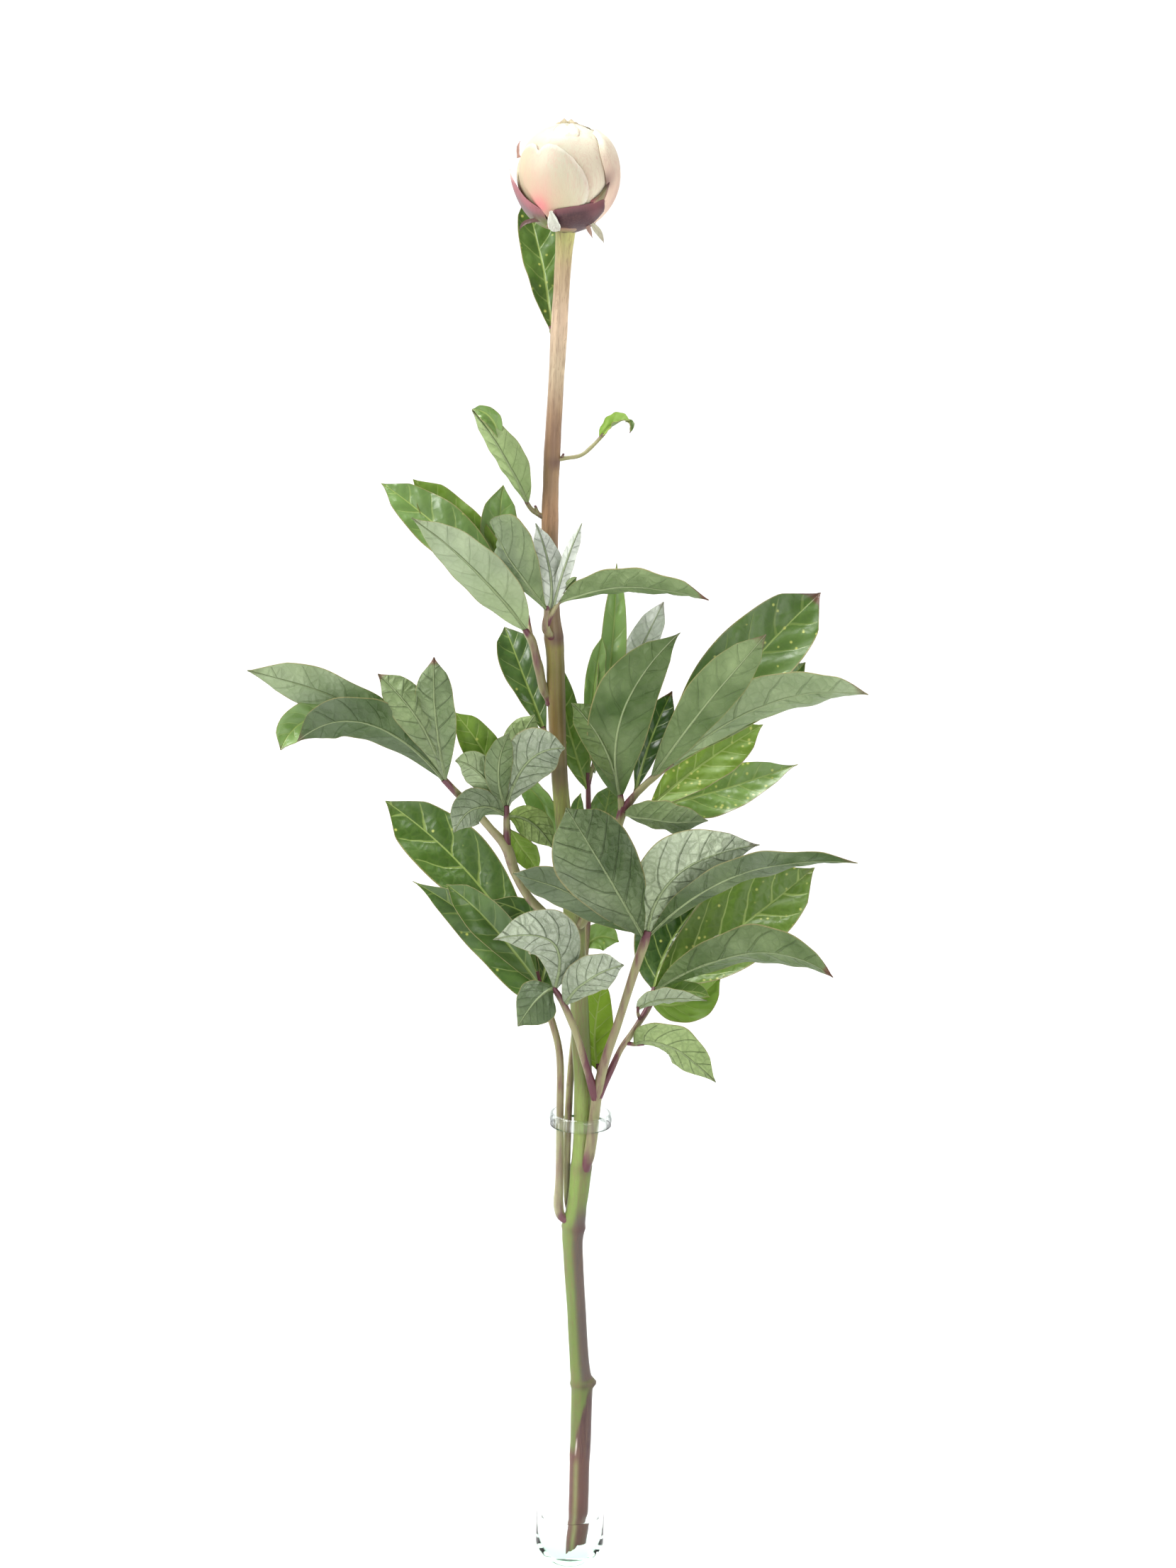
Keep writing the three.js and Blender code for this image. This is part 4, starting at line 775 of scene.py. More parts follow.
def addBlade(draft, row, tints, seed):  # tints of the upper side and the under side
    base, middle, tip, width, peak, faces, facesTip, foldLeft, foldRight, roll, wave = row
    draw = random.Random(seed)
    begin = sighted(base)
    mid, end = [sighted((p[0], p[1], base[2] + (p[2] - base[2]) * leafSet["depth"])) for p in (middle, tip)]
    pull = mid * 2 - begin * 0.5 - end * 0.5  # bends the curve through the middle point
    upBase = Vector(faces).normalized()
    upTip = Vector(facesTip or faces).normalized()
    long = (mid - begin).length + (end - mid).length
    rows = max(20, min(64, round(long / leafSet["stationGap"])))
    count = max(6, min(12, round(width / 2 / leafSet["laneGap"])))
    right = [k / count for k in range(1, count + 1)]
    lanes = [-v for v in reversed(right)] + [-leafSet["ribLane"], 0, leafSet["ribLane"]] + right
    veinGap = max(leafSet["leastVeinGap"], long / leafSet["veinsPerBlade"])
    lean = draw.uniform(-leafSet["lopsided"], leafSet["lopsided"])
    turns = [draw.uniform(0, fullTurn) for _ in range(4)]
    thin = min(1.0, width / leafSet["fullWidth"])
    atStalk, atTip = leafSet["leastHalf"]
    turn = math.radians(roll) + 1e-6  # never zero, since it divides
    top, bottom = [], []
    for i in range(rows + 1):
        s = i / rows
        p = begin * (1 - s) ** 2 + pull * (2 * s * (1 - s)) + end * s**2
        ahead = ((pull - begin) * (1 - s) + (end - pull) * s).normalized()
        up = upBase.lerp(upTip, s).normalized()
        side = ahead.cross(up).normalized()
        normal = side.cross(ahead)
        form = bladeOutline(s, peak)
        least = atStalk * (1 - s) ** 3 + atTip
        topRow, bottomRow = [], []
        for v in lanes:
            left = v < 0
            sign = -1 if left else 1
            size = abs(v)
            uneven = leafSet["unevenEdge"] * math.sin(fullTurn * 1.6 * s + turns[0] + sign)
            half = max(least, width / 2 * form * (1 + sign * lean + uneven))
            fold = math.radians(foldLeft if left else foldRight) * min(1.0, size / leafSet["foldShare"])
            angle = fold + turn * size
            across = half * (math.sin(angle) - math.sin(fold)) / turn
            rise = half * (math.cos(fold) - math.cos(angle)) / turn
            waves = leafSet["waves"] * s + (0.35 if left else 0)
            rise += wave * size**2 * math.sin(2 * math.pi * waves) * form
            far = size * half
            phase = (s * long - leafSet["veinLean"] * far - leafSet["veinBend"] * far * far) / veinGap
            cell = 0.5 - 0.5 * math.cos(2 * math.pi * (phase + (leafSet["leftShift"] if left else 0)))
            soft = min(1.0, far / 2.5) * (1 - size**4) * min(1, form * 1.5)
            rise += leafSet["quilt"] * (cell - 0.5) * soft * thin
            ripple = math.sin(fullTurn * leafSet["ripples"] * s + turns[1] + sign)
            rise += leafSet["ripple"] * thin * size**3 * ripple * form
            bend = noise.noise(Vector((s * 3.1 + turns[2], v * 1.4, seed * 0.7)))
            rise += leafSet["billow"] * thin * form * bend
            q = p + side * (sign * across) + normal * rise
            face = normal * math.cos(angle) - side * (sign * math.sin(angle)) if v else normal
            rib = 0 if v else leafSet["rib"] * (1 - 0.75 * s) * thin
            thick = leafSet["thickness"] / 2
            grain = (v * half, phase)
            topRow.append(addPoint(draft, q + face * (thick - rib * 0.3), grain, (v, s), tints[0]))
            bottomRow.append(addPoint(draft, q - face * (thick + rib), grain, (v, s), tints[1]))
        top.append(topRow)
        bottom.append(bottomRow)
    closeSheet(draft, top, bottom, 0, 1)


def addStalk(draft, row, main, seed):
    draw = random.Random(seed)
    points = [sighted(p[:3]) for p in row]
    table = [(i / (len(row) - 1), p[3]) for i, p in enumerate(row)]
    shift = draw.uniform(0, fullTurn)
    pale = draw.uniform(0.2, 0.7)

    def radius(u):
        if main:  # swollen foot
            foot = 0.45 * math.exp(-(((u - 0.025) / 0.03) ** 2))
        else:
            foot = 0.12 * math.exp(-((u / 0.1) ** 2))
        return between(table, u) * (1 + foot + 0.035 * math.sin(23 * u + shift))

    def groove(u, w):
        return -stalkSet["groove"] * max(0.0, math.cos(w - 1.4)) ** 6

    def tint(u, w):  # both ends are redder
        ends = max(0.0, 1 - u * (6 if main else 2.2)) + 0.8 * max(0.0, 1 - (1 - u) * (6 if main else 2.5))
        return (min(1.0, 0.3 + 0.9 * ends + 0.24 * math.cos(w + shift)), pale, 0, 1)

    addTube(draft, points, radius, stalkSet["sides"], stalkSet["steps"], 2, tint, groove)


# Shares of fresh or pale colour, painted glow of backlight, dry tip, yellow spots (upper side) or painted
# silver sheen (under side), and crisp veins, blade by blade in the order of the table of leaves
toneTable = {
    "leaf_bract": [(0.12, 0.1, 0.6, 0.5, 0.5)],
    "leaf_small_right": [(1, 0.7, 0, 0, 0.3), (0.2, 0.2, 1, 0, 0.3)],
    "leaf_small_left": [(0.7, 0.15, 0.3, 0, 0.3), (0.5, 0, 0.1, 0, 0.4)],
    "leaf_top_front": [(0.3, 0, 0.2, 0, 0.4), (1, 0, 0.1, 0.9, 0.5), (1, 0, 0.2, 1, 0.5),
                       (0.3, 0, 0.9, 0, 0.4), (0.5, 0, 0.2, 0, 0.5)],
    "leaf_top_left": [(0.65, 0, 0.2, 0.1, 0.3), (0.45, 0, 0.2, 0.1, 0.5), (0.3, 0.5, 0.1, 0, 0.6),
                      (0.7, 0, 0.2, 0.05, 0.4)],
    "leaf_behind_left": [(0.12, 0, 0.2, 0.1, 0.5)],
    "leaf_right_back": [(0.05, 0.3, 0.1, 0.1, 0.9), (1, 0, 0, 0, 0.4), (0.85, 0, 0, 0.05, 0.4),
                        (1, 0, 0.4, 1, 0.5), (0.5, 0, 0.2, 0.45, 0.9), (0.3, 0, 0, 0, 0.5),
                        (0.85, 0.2, 0.2, 0.1, 0.4)],
    "leaf_right": [(0.1, 0, 0.2, 0, 0.4), (0.15, 0.1, 0.1, 0, 0.5), (0.25, 0, 0.6, 0, 0.4),
                   (0.15, 0.1, 0.9, 0.5, 0.4), (0.45, 0, 0.5, 0.1, 0.5), (0.3, 0, 0.2, 0, 0.5),
                   (0, 0, 0.9, 0, 0.5), (0.4, 0, 0.1, 0, 0.5), (0, 0.6, 0.1, 0.9, 0.8),
                   (0.4, 0.2, 0.3, 0.8, 0.6)],
    "leaf_low_right": [(0.15, 0, 0.1, 0.04, 1), (0.02, 0, 0.1, 0, 0.6), (0.75, 0, 0.4, 0.25, 1),
                       (0, 0, 0.4, 0, 0.8), (0.4, 0, 0.2, 0.4, 1), (0.36, 0, 0.2, 0.3, 1),
                       (0, 0, 0.2, 0.05, 0.6), (0, 0.34, 0.2, 0.6, 1), (0, 0, 0.2, 0.2, 0.9),
                       (0.2, 0, 0.9, 0, 0.7), (0.7, 0, 0.2, 0.3, 0.6), (0.2, 0.2, 0, 0, 0.6),
                       (0.65, 0.25, 0.2, 0, 0.8), (1, 1, 0.1, 0.1, 1), (1, 0.6, 0.1, 0.1, 0.8)],
    "leaf_low_left": [(0, 0.1, 0.1, 0.1, 0.7), (0.2, 0, 0.1, 0.15, 0.6), (0.25, 0, 0.1, 0, 0.4),
                      (0.02, 0, 0.1, 0, 0.5)],
    "leaf_left": [(0.54, 0, 0.2, 0.05, 0.4), (0, 0, 0.5, 0.04, 0.5), (0.8, 0, 0.4, 0.1, 0.5),
                  (0.35, 0, 0.9, 0.05, 0.8), (0.45, 0, 0.8, 0, 0.7), (0.35, 0, 0.1, 0.3, 1),
                  (0.22, 0, 0.1, 0, 0.6), (0.8, 0, 0.2, 0.05, 0.5), (0.25, 0, 0.1, 0.05, 0.7),
                  (0.5, 0.2, 0.1, 0, 0.5), (0.05, 0.5, 0.1, 0.2, 0.8), (1, 0, 0.1, 0, 0.5),
                  (1, 0.9, 0.1, 0, 0.8), (0, 0.8, 0.1, 0, 0.8)],
}

sightSlope = 3.7  # run of a sight line for each unit that it falls


def leafTones(name, index, faces):  # for the upper side and the under side; the hidden one's are plainer
    light, sun, dry, spotsAndSheen, crisp = toneTable[name][index]
    shown = (light, sun, dry, spotsAndSheen, crisp)
    if faces[2] > sightSlope * faces[1]:  # the upper side shows from the front
        return shown, (0.45, sun * 0.3, dry, 0, 0.8)
    return (0.15 + 0.15 * light, sun * 0.5, dry, 0.1, 0.7), shown


def pieceName(node):  # leaf_top_left gives topLeftLeaf
    first, *others = node.split("_")[1:]
    return first + "".join(word.capitalize() for word in others) + "Leaf"


def makeLeaves():
    finishes = [bladeSkin("leafUpper"), bladeSkin("leafUnder"), stalkSkin()]
    for node, leaf in leafTable.items():
        draft = newDraft()
        for i, row in enumerate(leaf["stalks"]):
            addStalk(draft, row, i == 0, len(node) * 31 + i)
        for i, row in enumerate(leaf["blades"]):
            addBlade(draft, row, leafTones(node, i, row[5]), len(node) * 17 + i)
        piece = makePiece(pieceName(node), draft, finishes)
        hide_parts(node)
        print("leaf made:", pieceName(node), len(draft["faces"]), "faces")


makeLeaves()

# ---- stem ----

# [x, height, y, radius] from the cut end up to the flower
stemLine = [
    [2.2, 17.8, 4, 3.7], [3, 27, 3.9, 3.8], [3.4, 34, 3.8, 4.3], [3.4, 52, 4.2, 4.3], [3.4, 84, 3, 4.4],
    [3.2, 92, 2.7, 4.6], [1.9, 104, 2.2, 4.1], [0.2, 126, 1.2, 4], [-1.9, 152, 0, 4.2], [-1.8, 162, 0, 4.9],
    [-0.6, 172, 0, 4.2], [0.6, 186, 0, 4.5], [1.1, 200, 0, 4], [0.8, 224, 0, 3.9], [-0.6, 242, 0, 3.9],
    [-2.2, 265, 0, 3.8], [-4, 286, 0, 3.9], [-4.9, 295, 0, 4.4], [-6.4, 308, 0, 3.7], [-8.4, 324, 0, 3.5],
    [-11.7, 350, 0, 3.4], [-13.4, 370, 0, 3.4], [-14.9, 396, 0, 3.8], [-15.6, 410, 0, 3.7],
    [-16.4, 418, 0, 4.1], [-17.4, 428, 0, 3.3], [-18.6, 448, 0, 3.2], [-19.2, 468, 0, 3.5],
    [-19.2, 482, 0, 3.2], [-19, 494, 0, 3.4], [-18.6, 507, 0, 3.2], [-17.9, 528, 0, 3.1],
    [-17.4, 544, 0, 3.4], [-16.8, 562, 0, 3.2], [-16.2, 577, 0, 3.4], [-15.8, 585, 0, 3.9],
]
stemSet = {
    "sides": 40,
    "steps": 8,
    "leanOfCut": 5.0,
    "nodes": (61, 92, 162, 189, 295, 418, 492),  # heights of the joints
    "knob": (91.5, 1.5, 2.2),  # height, size and length of the swelling on the right
    "ring": (0.32, 1.3),  # size and length of the rings at the joints
    "scarDepth": 0.3,
    "scar": (61, 68, 94),  # heights of the torn strip of bark: its foot, where it stops widening, its top
    "purpleFrom": (94, 176),
    # height from which shade is painted along the ridges
    "paintedShadeAndLightFrom": 320,
    "slitTurn": 248,  # degrees, of the pale stripe and the peeled slit low down
    "tones": [  # height and colour up the stem
        (15, (0.09, 0.033, 0.03)), (55, (0.1, 0.04, 0.033)), (60, (0.11, 0.045, 0.035)),
        (63, (0.1, 0.13, 0.03)), (95, (0.105, 0.15, 0.028)), (150, (0.12, 0.17, 0.035)),
        (180, (0.15, 0.22, 0.045)), (215, (0.21, 0.28, 0.065)), (228, (0.15, 0.2, 0.045)),
        (250, (0.12, 0.16, 0.038)), (268, (0.17, 0.21, 0.06)), (300, (0.24, 0.29, 0.09)),
        (325, (0.28, 0.32, 0.085)), (349, (0.29, 0.33, 0.075)), (356, (0.15, 0.13, 0.035)),
        (362, (0.1, 0.08, 0.026)), (371, (0.18, 0.14, 0.04)), (378, (0.21, 0.14, 0.04)),
        (390, (0.195, 0.15, 0.04)), (403, (0.16, 0.135, 0.03)), (414, (0.22, 0.19, 0.05)),
        (420, (0.2, 0.14, 0.07)), (440, (0.24, 0.16, 0.09)), (457, (0.3, 0.18, 0.1)),
        (469, (0.36, 0.205, 0.108)), (481, (0.27, 0.165, 0.087)), (490, (0.26, 0.165, 0.08)),
        (500, (0.215, 0.125, 0.07)), (512, (0.3, 0.19, 0.11)), (530, (0.47, 0.37, 0.24)),
        (551, (0.53, 0.39, 0.265)), (572, (0.39, 0.29, 0.16)), (584, (0.36, 0.35, 0.12)),
    ],
    "purple": (0.085, 0.05, 0.055),
    "bark": (0.065, 0.02, 0.027),
    "stripe": (0.20, 0.22, 0.08),
    "slit": (0.75, 0.66, 0.60),
    "pith": (0.62, 0.60, 0.50),
    "skin": {"streak": (0.16, 0.085, 0.05), "streaks": 0.55, "stretch": (7, 7, 0.7), "roughness": 0.45,
             "specular": 0.45},
}


# Coloured by the points' tints, with streaks along the piece and flecks
def skinFromTint(name, streak, streaks, stretch, roughness, specular, seeThrough=0, flecks=0.3):
    material, tree = newMaterial(name)
    tint = pointValue(tree, "tint")["Color"]
    fine = mottle(tree, 320, 3, stretch)
    fleck = mottle(tree, 900, 2, (1, 1, 0.5))
    lines = times(tree, mottle(tree, 55, 5, stretch), 0.5)
    lines = rising(tree, timesPlus(tree, fine, 0.5, lines), 0.44, 0.66)
    colour = blendColours(tree, times(tree, lines, streaks), tint, streak)
    colour = blendColours(tree, times(tree, rising(tree, fleck, 0.64, 0.74), flecks), colour, streak)
    relief = (timesPlus(tree, fleck, 0.4, fine), 0.35, 0.0003)
    finishMaterial(tree, colour, roughness, specular, relief, tint if seeThrough else None, seeThrough)
    return material


def makeStem():
    draft = newDraft()
    line = [*stemLine, [-15.6, 589.6, 0, 4.4]]  # up into the flower's cup
    points = [sighted(p[:3]) for p in line]
    n = len(line) - 1
    girth = [(i / n, p[3]) for i, p in enumerate(line)]
    heights = [(i / n, p[1]) for i, p in enumerate(line)]
    scarFoot, scarBend, scarTop = stemSet["scar"]

    def radius(u):
        return between(girth, u)

    def onScar(height, w):  # the torn strip widens to the left on its way down
        if not scarFoot < height < scarTop or math.sin(w) > 0.5:
            return 0.0
        edge = -0.47 + 1.37 * max(0.0, height - scarBend) / (scarTop - scarBend)
        return ramp(math.cos(w) - edge, -0.04, 0.1)

    def lift(u, w):
        height = between(heights, u)
        ribs = 0.07 * math.cos(5 * w + 9 * u) + 0.05 * math.cos(11 * w - 5 * u)
        ribs += 0.03 * math.sin(260 * u + 2 * math.cos(w))
        size, long = stemSet["ring"]
        rings = sum(size * math.exp(-(((height - at) / long) ** 2)) for at in stemSet["nodes"][:4])
        at, size, long = stemSet["knob"]
        knob = size * math.exp(-(((height - at) / long) ** 2)) * max(0.0, math.cos(w)) ** 5
        return ribs + rings + knob + stemSet["scarDepth"] * onScar(height, w)

    def tint(u, w):
        height = between(heights, u)
        right = math.cos(w)
        tone = between(stemSet["tones"], height)
        low, high = stemSet["purpleFrom"]
        if low <= height < high:  # dull purple right side
            share = 0.9 * ramp(right, -0.3, 0.35) * ramp(high - height, 0, 10)
            tone = mixTone(tone, stemSet["purple"], share)
        if height > stemSet["paintedShadeAndLightFrom"]:  # painted shade along the ridges, and painted light on the right side higher up
            ridgeShadeAndSideLight = 1 - 0.13 * (0.5 + 0.5 * math.cos(8 * w + 1))
            ridgeShadeAndSideLight += 0.5 * ramp(right, -0.1, 0.9) * ramp(height, 440, 480)
            tone = [min(0.8, x * ridgeShadeAndSideLight) for x in tone]
        joint = max(0.0, max(1 - abs(height - at) / 4.5 for at in stemSet["nodes"]))
        tone = mixTone(tone, stemSet["bark"], 0.7 * joint * (0.35 + 0.65 * ramp(right, -0.6, 0.4)))
        tone = mixTone(tone, stemSet["bark"], 0.95 * onScar(height, w) * ramp(97 - height, 0, 14))
        turn = math.degrees(w) - stemSet["slitTurn"]
        if height < scarFoot - 1:
            tone = mixTone(tone, stemSet["stripe"], 0.8 * math.exp(-((turn / 13) ** 2)))
        if scarFoot + 0.5 < height < scarBend and abs(turn - 2) < 5:
            tone = stemSet["slit"]
        return (*tone, 1)

    def cut(w):
        return stemSet["leanOfCut"] * math.cos(w) + 0.45 * math.sin(5 * w + 0.6) + 0.3 * math.sin(13 * w)

    pith = (*stemSet["pith"], 1)
    addTube(draft, points, radius, stemSet["sides"], stemSet["steps"], 0, tint, lift, cut, pith)
    piece = makePiece("flowerStem", draft, [skinFromTint("stemSkin", **stemSet["skin"])])
    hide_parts("stem")


makeStem()
print("stem made")

# ---- flower ----

budSet = {
    "centre": (-15.6, 0, 610.2),
    "radius": 19.2,
    "half": 20.4,
    "thick": 0.5,
    "heart": (25, 36),  # rings and sides
    "heartSpan": (4, 176),  # polar angles of its first and last ring
    "cream": (0.60, 0.535, 0.355),
    "white": (0.58, 0.56, 0.44),
    "brown": (0.40, 0.24, 0.12),
    "blush": (0.78, 0.22, 0.24),
    "tan": (0.78, 0.56, 0.39),
    "purple": (0.055, 0.016, 0.024),
    "green": (0.21, 0.26, 0.09),
    "rose": (0.46, 0.15, 0.17),
    "dusk": (0.19, 0.10, 0.11),
    # shade is the colour of painted shade on the petals
    "shade": (0.40, 0.33, 0.18),
    # a pale colour, also laid over the right side of the bud as painted light
    "lit": (0.95, 0.90, 0.72),
    "shell": (0.95, 0.76, 0.59),
    # rim is a painted highlight for the front petal's edges
    "rim": (0.86, 0.83, 0.72),
    "flesh": (0.85, 0.62, 0.50),
    "petalSkin": {"streak": (0.68, 0.40, 0.33), "streaks": 0.42, "stretch": (7, 7, 0.9), "roughness": 0.5,
                  "specular": 0.35, "seeThrough": 0.22},
    "sepalSkin": {"streak": (0.16, 0.07, 0.06), "streaks": 0.35, "stretch": (5, 5, 0.8), "roughness": 0.45,
                  "specular": 0.5, "seeThrough": 0.12, "flecks": 0.25},
}


def budPoint(azimuth, polar, out):  # point that stands out from the bud, and the direction outwards
    a, p = math.radians(azimuth), math.radians(polar)
    radius, half = budSet["radius"], budSet["half"]
    flat = math.sin(p)
    around = Vector((flat * math.cos(a) * radius, flat * math.sin(a) * radius, -math.cos(p) * half))
    return Vector(budSet["centre"]) + around * (1 + out / radius), around.normalized()


# One petal: bounds, rows of (polar angle, left, right) from the foot up; top, its edge as (across, polar
# angle); out, distance off the bud; lift of the top edge; tuck, how far the left, right and top edges and
# the right top corner lie down
def addPetal(draft, petal, seed, rows=30, lanes=26):
    bounds, top = petal["bounds"], petal.get("top")
    lefts = [(p, a) for p, a, b in bounds]
    rights = [(p, b) for p, a, b in bounds]
    low, high = bounds[0][0], bounds[-1][0]
    tuckLeft, tuckRight, tuckTop, tuckCorner = petal.get("tuck", (0.3, 0.3, 0.3, 0))
    outer, inner = [], []
    for i in range(rows + 1):
        s = i / rows
        rowOut, rowIn = [], []
        for j in range(lanes + 1):
            v = 2 * j / lanes - 1
            limit = between(top, v) if top else high
            polar = low + (limit - low) * s
            left, right = between(lefts, polar), between(rights, polar)
            azimuth = left + (right - left) * (v + 1) / 2
            bend = noise.noise(Vector((azimuth * 0.035, polar * 0.03, seed * 3.7)))
            out = petal["out"] + petal.get("lift", 0) * s**5
            out += petal.get("wave", 0.35) * bend + petal.get("ruffle", 0) * s**6 * math.sin(v * 9 + seed)
            out -= petal.get("foot", 0) * (1 - ramp(s, 0, 0.5))
            out -= tuckLeft * ramp(-v, 0.75, 1) + tuckRight * ramp(v, 0.75, 1) + tuckTop * ramp(s, 0.86, 1)
            out -= tuckCorner * ramp(s, 0.7, 1) * ramp(v, -0.1, 0.5)
            thick = budSet["thick"] * (0.25 + 0.75 * min(1, (1 - s) * 4, (1 - abs(v)) * 4))
            q, face = budPoint(azimuth, polar, out)
            tone = (*petal["tone"](s, v, azimuth, polar), 1)
            grain = (azimuth / 10, polar / 40)
            rowOut.append(addPoint(draft, q, grain, (v, s), tone))
            rowIn.append(addPoint(draft, q - face * thick, grain, (v, s), tone))
        outer.append(rowOut)
        inner.append(rowIn)
    closeSheet(draft, outer, inner, 0, 0)


def near(azimuth, polar, atAzimuth, atPolar, spread):  # 1 at a place on the bud, less away from it
    turn = ((azimuth - atAzimuth + 180) % 360 - 180) * math.sin(math.radians(polar))
    return math.exp(-((turn / spread) ** 2 + ((polar - atPolar) / spread) ** 2))


# The front petal's edge with its two lobes, as (across, polar angle)
frontEdge = [(-1, 106), (-0.86, 117), (-0.66, 125), (-0.45, 128), (-0.2, 127), (-0.06, 121.5), (0.0, 121.5),
             (0.1, 127), (0.3, 130.5), (0.6, 130), (0.85, 125), (1, 117)]
# and its right edge, as (polar angle, turn)
frontRight = [(35, 284), (55, 286), (62, 292), (70, 296), (82, 297), (94, 293), (104, 288), (112, 281),
              (124, 272), (131, 268)]


def painted(base, *coats):  # colours of budSet laid over one another, each with its share
    tone = budSet[base]
    for name, share in coats:
        tone = mixTone(tone, budSet[name], share)
    return tone


def creamy(s, v, azimuth, polar):
    over = max(0, polar - between(frontEdge, (azimuth - 236) / 46))  # above the front petal's edge
    beyond = max(0, azimuth - between(frontRight, polar))  # and right of it
    # painted shadow of the front petal's edge, on the petals above it and right of it
    paintedShadeAbove = 0.4 * math.exp(-over / 3.2) * ramp(-azimuth, -276, -256) if over else 0
    paintedShadeBeside = 0.38 * math.exp(-beyond / 4) * ramp(-polar, -126, -112) if beyond else 0
    # lighter towards the right side: painted light
    return painted("cream", ("white", (polar - 80) / 60), ("lit", 0.85 * ramp(azimuth, 262, 312)),
                   ("shade", paintedShadeAbove), ("shade", paintedShadeBeside), ("tan", 0.25 * near(azimuth, polar, 305, 110, 25)))


def frontTone(s, v, azimuth, polar):
    flush = 0.85 * near(azimuth, polar, 234, 60, 13) + 0.25 * near(azimuth, polar, 240, 78, 20)
    # lighter towards the right side: painted light
    return painted("cream", ("white", (polar - 75) / 60 + 0.1), ("lit", 0.85 * ramp(azimuth, 262, 312)),
                   # painted shade over the left part of the front petal
                   ("shade", 0.4 * ramp(-azimuth, -240, -208)),
                   ("tan", 0.3 * near(azimuth, polar, 210, 95, 22)),
                   # painted highlight along the front petal's top edge and its right edge
                   ("rim", 0.5 * ramp(s, 0.93, 0.99) * ramp(-azimuth, -278, -262)),
                   ("rim", 0.6 * ramp(v, 0.86, 0.97)), ("blush", flush))


def crownTone(s, v, azimuth, polar):
    return painted("lit", ("brown", 0.35 * ramp(s, 0.94, 1) + 0.15 * ramp(abs(v), 0.8, 1)))


def outerTone(s, v, azimuth, polar):
    flush = 0.4 * max(0, v - 0.72) / 0.28 + 0.3 * near(azimuth, polar, 345, 66, 18)
    return painted("shell", ("lit", (polar - 95) / 35), ("rose", flush),
                   ("dusk", 0.3 * near(azimuth, polar, 328, 96, 9)),
                   ("purple", 0.85 * near(azimuth, polar, 321, 88, 8)))


def leftSepalTone(s, v, azimuth, polar):
    return painted("green", ("dusk", ramp(polar, 30, 58)), ("rose", 0.6 * ramp(s, 0.62, 0.9)),
                   ("flesh", (polar - 82) / 10))


def darkTone(s, v, azimuth, polar):
    flush = 0.35 * max(0, s - 0.86) / 0.14 + 0.25 * near(azimuth, polar, 310, 60, 10)
    return painted("purple", ("rose", flush))


def innerSepalTone(s, v, azimuth, polar):
    return painted("green", ("rose", abs(v) ** 2 + 0.2), ("purple", 0.9 * near(azimuth, polar, 322, 88, 8)))


def cupTone(s, v, azimuth, polar):
    return painted("green", ("rose", s * 0.6))


petals = {
    "front": {"out": 1.5, "lift": 0.15, "tuck": (0.6, 0.5, 0.0, 0), "tone": frontTone,
              "bounds": [(p, left, right) for left, (p, right) in
                         zip((236, 230, 224, 217, 206, 196, 190, 187, 186, 190), frontRight)],
              "top": frontEdge},
    "right": {"out": 0.75, "tone": creamy, "wave": 0.25,
              "bounds": [(40, 262, 300), (70, 256, 306), (84, 250, 312), (98, 244, 319), (118, 238, 326),
                         (132, 232, 332), (150, 224, 342), (158, 220, 345)],
              "top": [(-1, 150), (-0.6, 153), (-0.1, 155), (0.4, 154), (1, 150)]},
    "left": {"out": 0.65, "tone": creamy, "wave": 0.25,
             "bounds": [(40, 165, 222), (90, 150, 228), (120, 148, 236), (150, 160, 256), (158, 165, 260)],
             "top": [(-1, 150), (-0.3, 155), (0.4, 154), (1, 151)]},
    "backLeft": {"out": 0.35, "tone": creamy, "wave": 0.3,
                 "bounds": [(40, 85, 155), (90, 70, 165), (130, 68, 172), (160, 80, 180)]},
    "backRight": {"out": 0.85, "tone": creamy, "wave": 0.3,
                  "bounds": [(40, 20, 90), (90, 5, 100), (130, 0, 105), (158, 10, 110)],
                  "top": [(-1, 150), (-0.5, 156), (0.2, 158), (1, 151)]},
    "farRight": {"out": 0.3, "tone": creamy,
                 "bounds": [(40, 300, 370), (90, 295, 375), (130, 290, 380), (160, 300, 390)]},
    "outerRight": {"out": 2.35, "lift": 0.1, "tuck": (1.25, 0.3, 0.6, 0), "tone": outerTone,
                   "bounds": [(30, 318, 400), (55, 314, 408), (74, 319, 412), (82, 323, 412), (101, 319, 410),
                              (110, 317, 408), (122, 318, 405), (131, 323, 400), (140, 331, 392),
                              (149, 338, 385)],
                   "top": [(-1, 147), (-0.6, 149), (0, 146), (0.5, 136), (1, 118)]},
    "outerBack": {"out": 1.8, "tone": creamy, "wave": 0.5,
                  "bounds": [(30, 40, 120), (60, 34, 132), (100, 32, 136), (130, 40, 128)],
                  "top": [(-1, 104), (-0.6, 124), (-0.1, 130), (0.1, 126), (0.5, 130), (1, 108)]},
    "outerLeft": {"out": 1.15, "tone": creamy, "wave": 0.4,
                  "bounds": [(30, 118, 190), (60, 112, 196), (90, 112, 192), (118, 122, 180)],
                  "top": [(-1, 92), (-0.5, 116), (0, 121), (0.5, 116), (1, 96)]},
    "crownFront": {"out": 0.9, "foot": 1.4, "lift": 0.7, "ruffle": 0.35, "tuck": (0.9, 0.9, 0, 0),
                   "tone": crownTone,
                   "bounds": [(138, 244, 290), (168, 215, 320)],
                   "top": [(-1, 153), (-0.75, 160), (-0.4, 163), (-0.1, 160), (0.2, 165), (0.6, 162),
                           (1, 153)]},
    "crownBack": {"out": 0.6, "foot": 1.0, "lift": 0.9, "ruffle": 0.5, "tuck": (1.2, 1.2, 0, 0),
                  "tone": crownTone,
                  "bounds": [(156, 60, 130), (172, 35, 155)],
                  "top": [(-1, 158), (-0.7, 164), (-0.3, 167), (0, 164), (0.3, 168), (0.7, 164), (1, 158)]},
}
